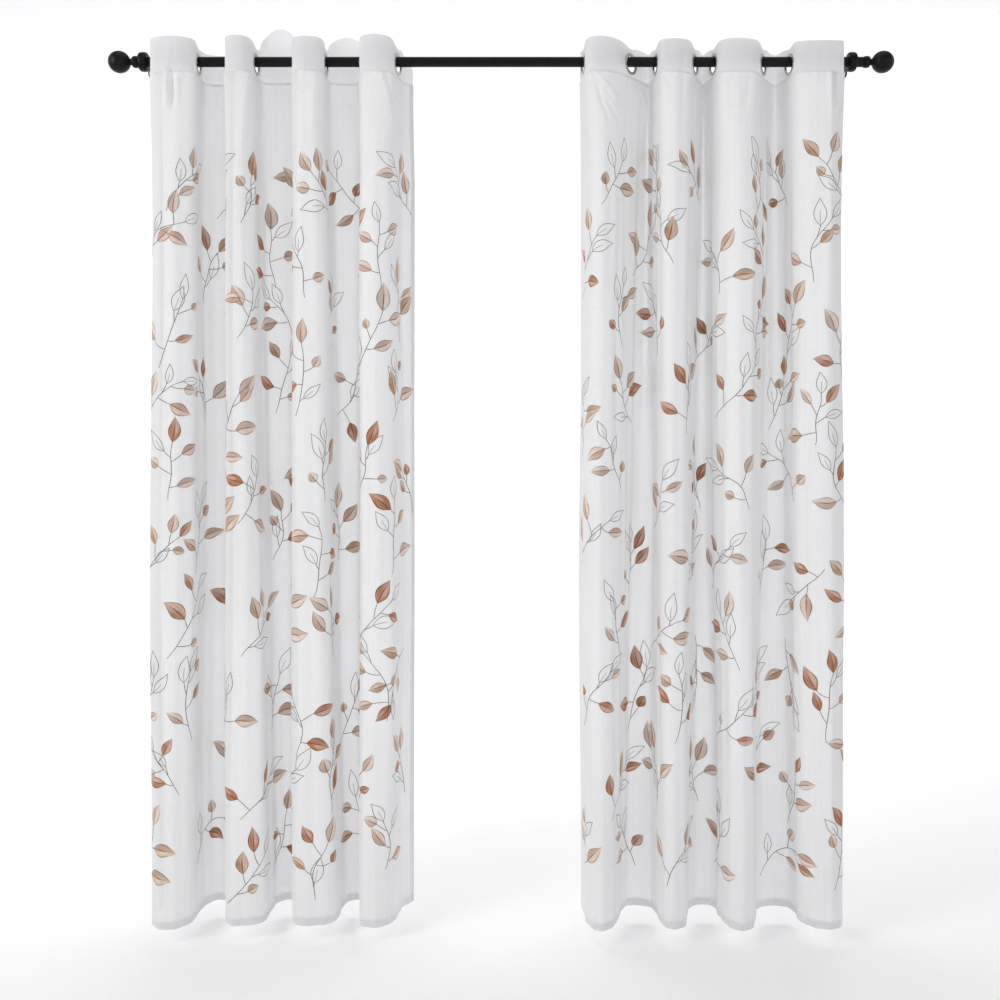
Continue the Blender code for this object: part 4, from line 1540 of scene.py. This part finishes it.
# Soft lights: x is from the middle of the curtains, and toward is the height and depth that they face
Softbox = namedtuple("Softbox", "name x y z toward_y toward_z size watts colour")
SOFTBOXES = (
    Softbox("key softbox", -3.4, -2.1, 0.4, -0.1, -1.0, (1.4, 2.2), 49, "#fffdfa"),
    Softbox("fill softbox", 2.4, -3.2, -0.6, -0.1, -1.2, (1.6, 2.4), 7, "#fbfcff"),
    Softbox("top softbox", 0, -0.6, 2.6, -0.4, -2.4, (4.0, 3.0), 37, "#ffffff"),
    Softbox("sweep light", 0, 1.5, 2.2, 6.4, -1.2, (5.0, 1.6), 205, "#ffffff"),
)


def soft_light(name, place, target, size, power, colour):
    data = bpy.data.lights.new(name, "AREA")
    data.shape = "RECTANGLE"
    data.size, data.size_y = size
    data.energy = power
    data.color = linear(colour)
    light = linked(name, data)
    light.location = place
    light.rotation_euler = (Vector(target) - Vector(place)).to_track_quat("-Z", "Y").to_euler()


class CURTAIN_OT_studio(bpy.types.Operator):
    """Build the pale floor that curves up into plain walls, the soft lights and the camera"""

    bl_idname = "curtain.studio"
    bl_label = "Studio"

    REACH = 5.2
    CURVE = 2.2
    WALL = 4.6
    CURVE_STEPS = 14
    SHIFT = -0.11

    def execute(self, context):
        settings = context.scene.curtain_studio
        low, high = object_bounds()
        middle = (low + high) / 2
        floor_z = low.z - settings.floor_gap
        self.build_room(settings, middle, floor_z)
        for box in SOFTBOXES:
            target = (middle.x, box.toward_y, box.toward_z)
            soft_light(box.name, (middle.x + box.x, box.y, box.z), target, box.size, box.watts, box.colour)
        world = bpy.data.worlds.new("soft daylight")
        context.scene.world = world
        world.use_nodes = True
        world.node_tree.nodes.clear()
        sky = add_node(
            world.node_tree, "ShaderNodeBackground", values={"Color": (0.99, 0.995, 1, 1), "Strength": 0.2}
        )
        add_node(world.node_tree, "ShaderNodeOutputWorld", {"Surface": sky.outputs["Background"]})
        camera_data = bpy.data.cameras.new("front camera")
        camera = linked(camera_data.name, camera_data)
        camera.location = (ORIGIN.x, -WALL_DISTANCE - settings.distance, -settings.below_rod)
        camera.rotation_euler = (math.radians(90), 0, 0)
        camera_data.lens = settings.lens
        camera_data.shift_y = self.SHIFT
        camera_data.clip_end = 60
        context.scene.camera = camera
        context.scene.view_settings.view_transform = "Standard"
        return {"FINISHED"}

    def build_room(self, settings, middle, floor_z):
        drop_selection()
        bpy.ops.mesh.primitive_circle_add(
            vertices=96, radius=self.REACH, fill_type="NGON", location=(middle.x, middle.y, floor_z)
        )
        room = bpy.context.object
        room.name = "studio_floor"
        bpy.ops.object.mode_set(mode="EDIT")
        bpy.ops.mesh.select_mode(type="EDGE")
        bpy.ops.mesh.select_all(action="SELECT")
        reach = self.REACH
        height = 0.0
        stations = []
        for k in range(1, self.CURVE_STEPS + 1):
            angle = math.pi / 2 * k / self.CURVE_STEPS
            stations.append((self.REACH + self.CURVE * math.sin(angle), self.CURVE * (1 - math.cos(angle))))
        stations.append((self.REACH + self.CURVE, self.CURVE + self.WALL))
        bpy.ops.mesh.region_to_loop()
        for new_reach, new_height in stations:
            bpy.ops.mesh.extrude_edges_move(TRANSFORM_OT_translate={"value": (0, 0, new_height - height)})
            scale = new_reach / reach
            bpy.ops.transform.resize(
                value=(scale, scale, 1), center_override=(middle.x, middle.y, floor_z + new_height)
            )
            reach, height = new_reach, new_height
        leave_edit_mode(inside=True)
        settle(room, 60)
        room.data.materials.append(painted_plaster(settings.backdrop))
        room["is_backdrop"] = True


STEPS = (
    CURTAIN_OT_rod, CURTAIN_OT_finials, CURTAIN_OT_brackets, CURTAIN_OT_eyelets, CURTAIN_OT_panels,
    CURTAIN_OT_headings, CURTAIN_OT_stitching, CURTAIN_OT_leaf_print, CURTAIN_OT_sheets, CURTAIN_OT_studio,
)
SETTINGS = {
    "curtain_cloth": CurtainClothSettings,
    "curtain_print": CurtainPrintSettings,
    "curtain_metal": CurtainMetalSettings,
    "curtain_studio": CurtainStudioSettings,
}


class VIEW3D_PT_curtains(bpy.types.Panel):
    """Everything that the curtains are made of, in the order in which it is built"""

    bl_label = "Sheer Curtains"
    bl_idname = "VIEW3D_PT_curtains"
    bl_space_type = "VIEW_3D"
    bl_region_type = "UI"
    bl_category = "Curtains"

    def draw(self, context):
        for name, group in SETTINGS.items():
            box = self.layout.box()
            for field in group.__annotations__:
                box.prop(getattr(context.scene, name), field)
        for step in STEPS:
            self.layout.operator(step.bl_idname)


def register():
    for kind in (*SETTINGS.values(), *STEPS, VIEW3D_PT_curtains):
        bpy.utils.register_class(kind)
    for name, group in SETTINGS.items():
        setattr(bpy.types.Scene, name, bpy.props.PointerProperty(type=group))


def unregister():
    for name in SETTINGS:
        delattr(bpy.types.Scene, name)
    for kind in (VIEW3D_PT_curtains, *reversed(STEPS), *reversed(list(SETTINGS.values()))):
        bpy.utils.unregister_class(kind)


def main():
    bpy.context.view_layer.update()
    register()
    bpy.ops.curtain.rod()
    bpy.ops.curtain.finials()
    bpy.ops.curtain.brackets()
    bpy.ops.curtain.eyelets()
    bpy.ops.curtain.panels()
    bpy.ops.curtain.headings()
    bpy.ops.curtain.stitching()
    bpy.ops.curtain.leaf_print()
    bpy.ops.curtain.sheets()
    bpy.ops.curtain.studio()
    bpy.context.view_layer.update()


if __name__ == "__main__":
    main()
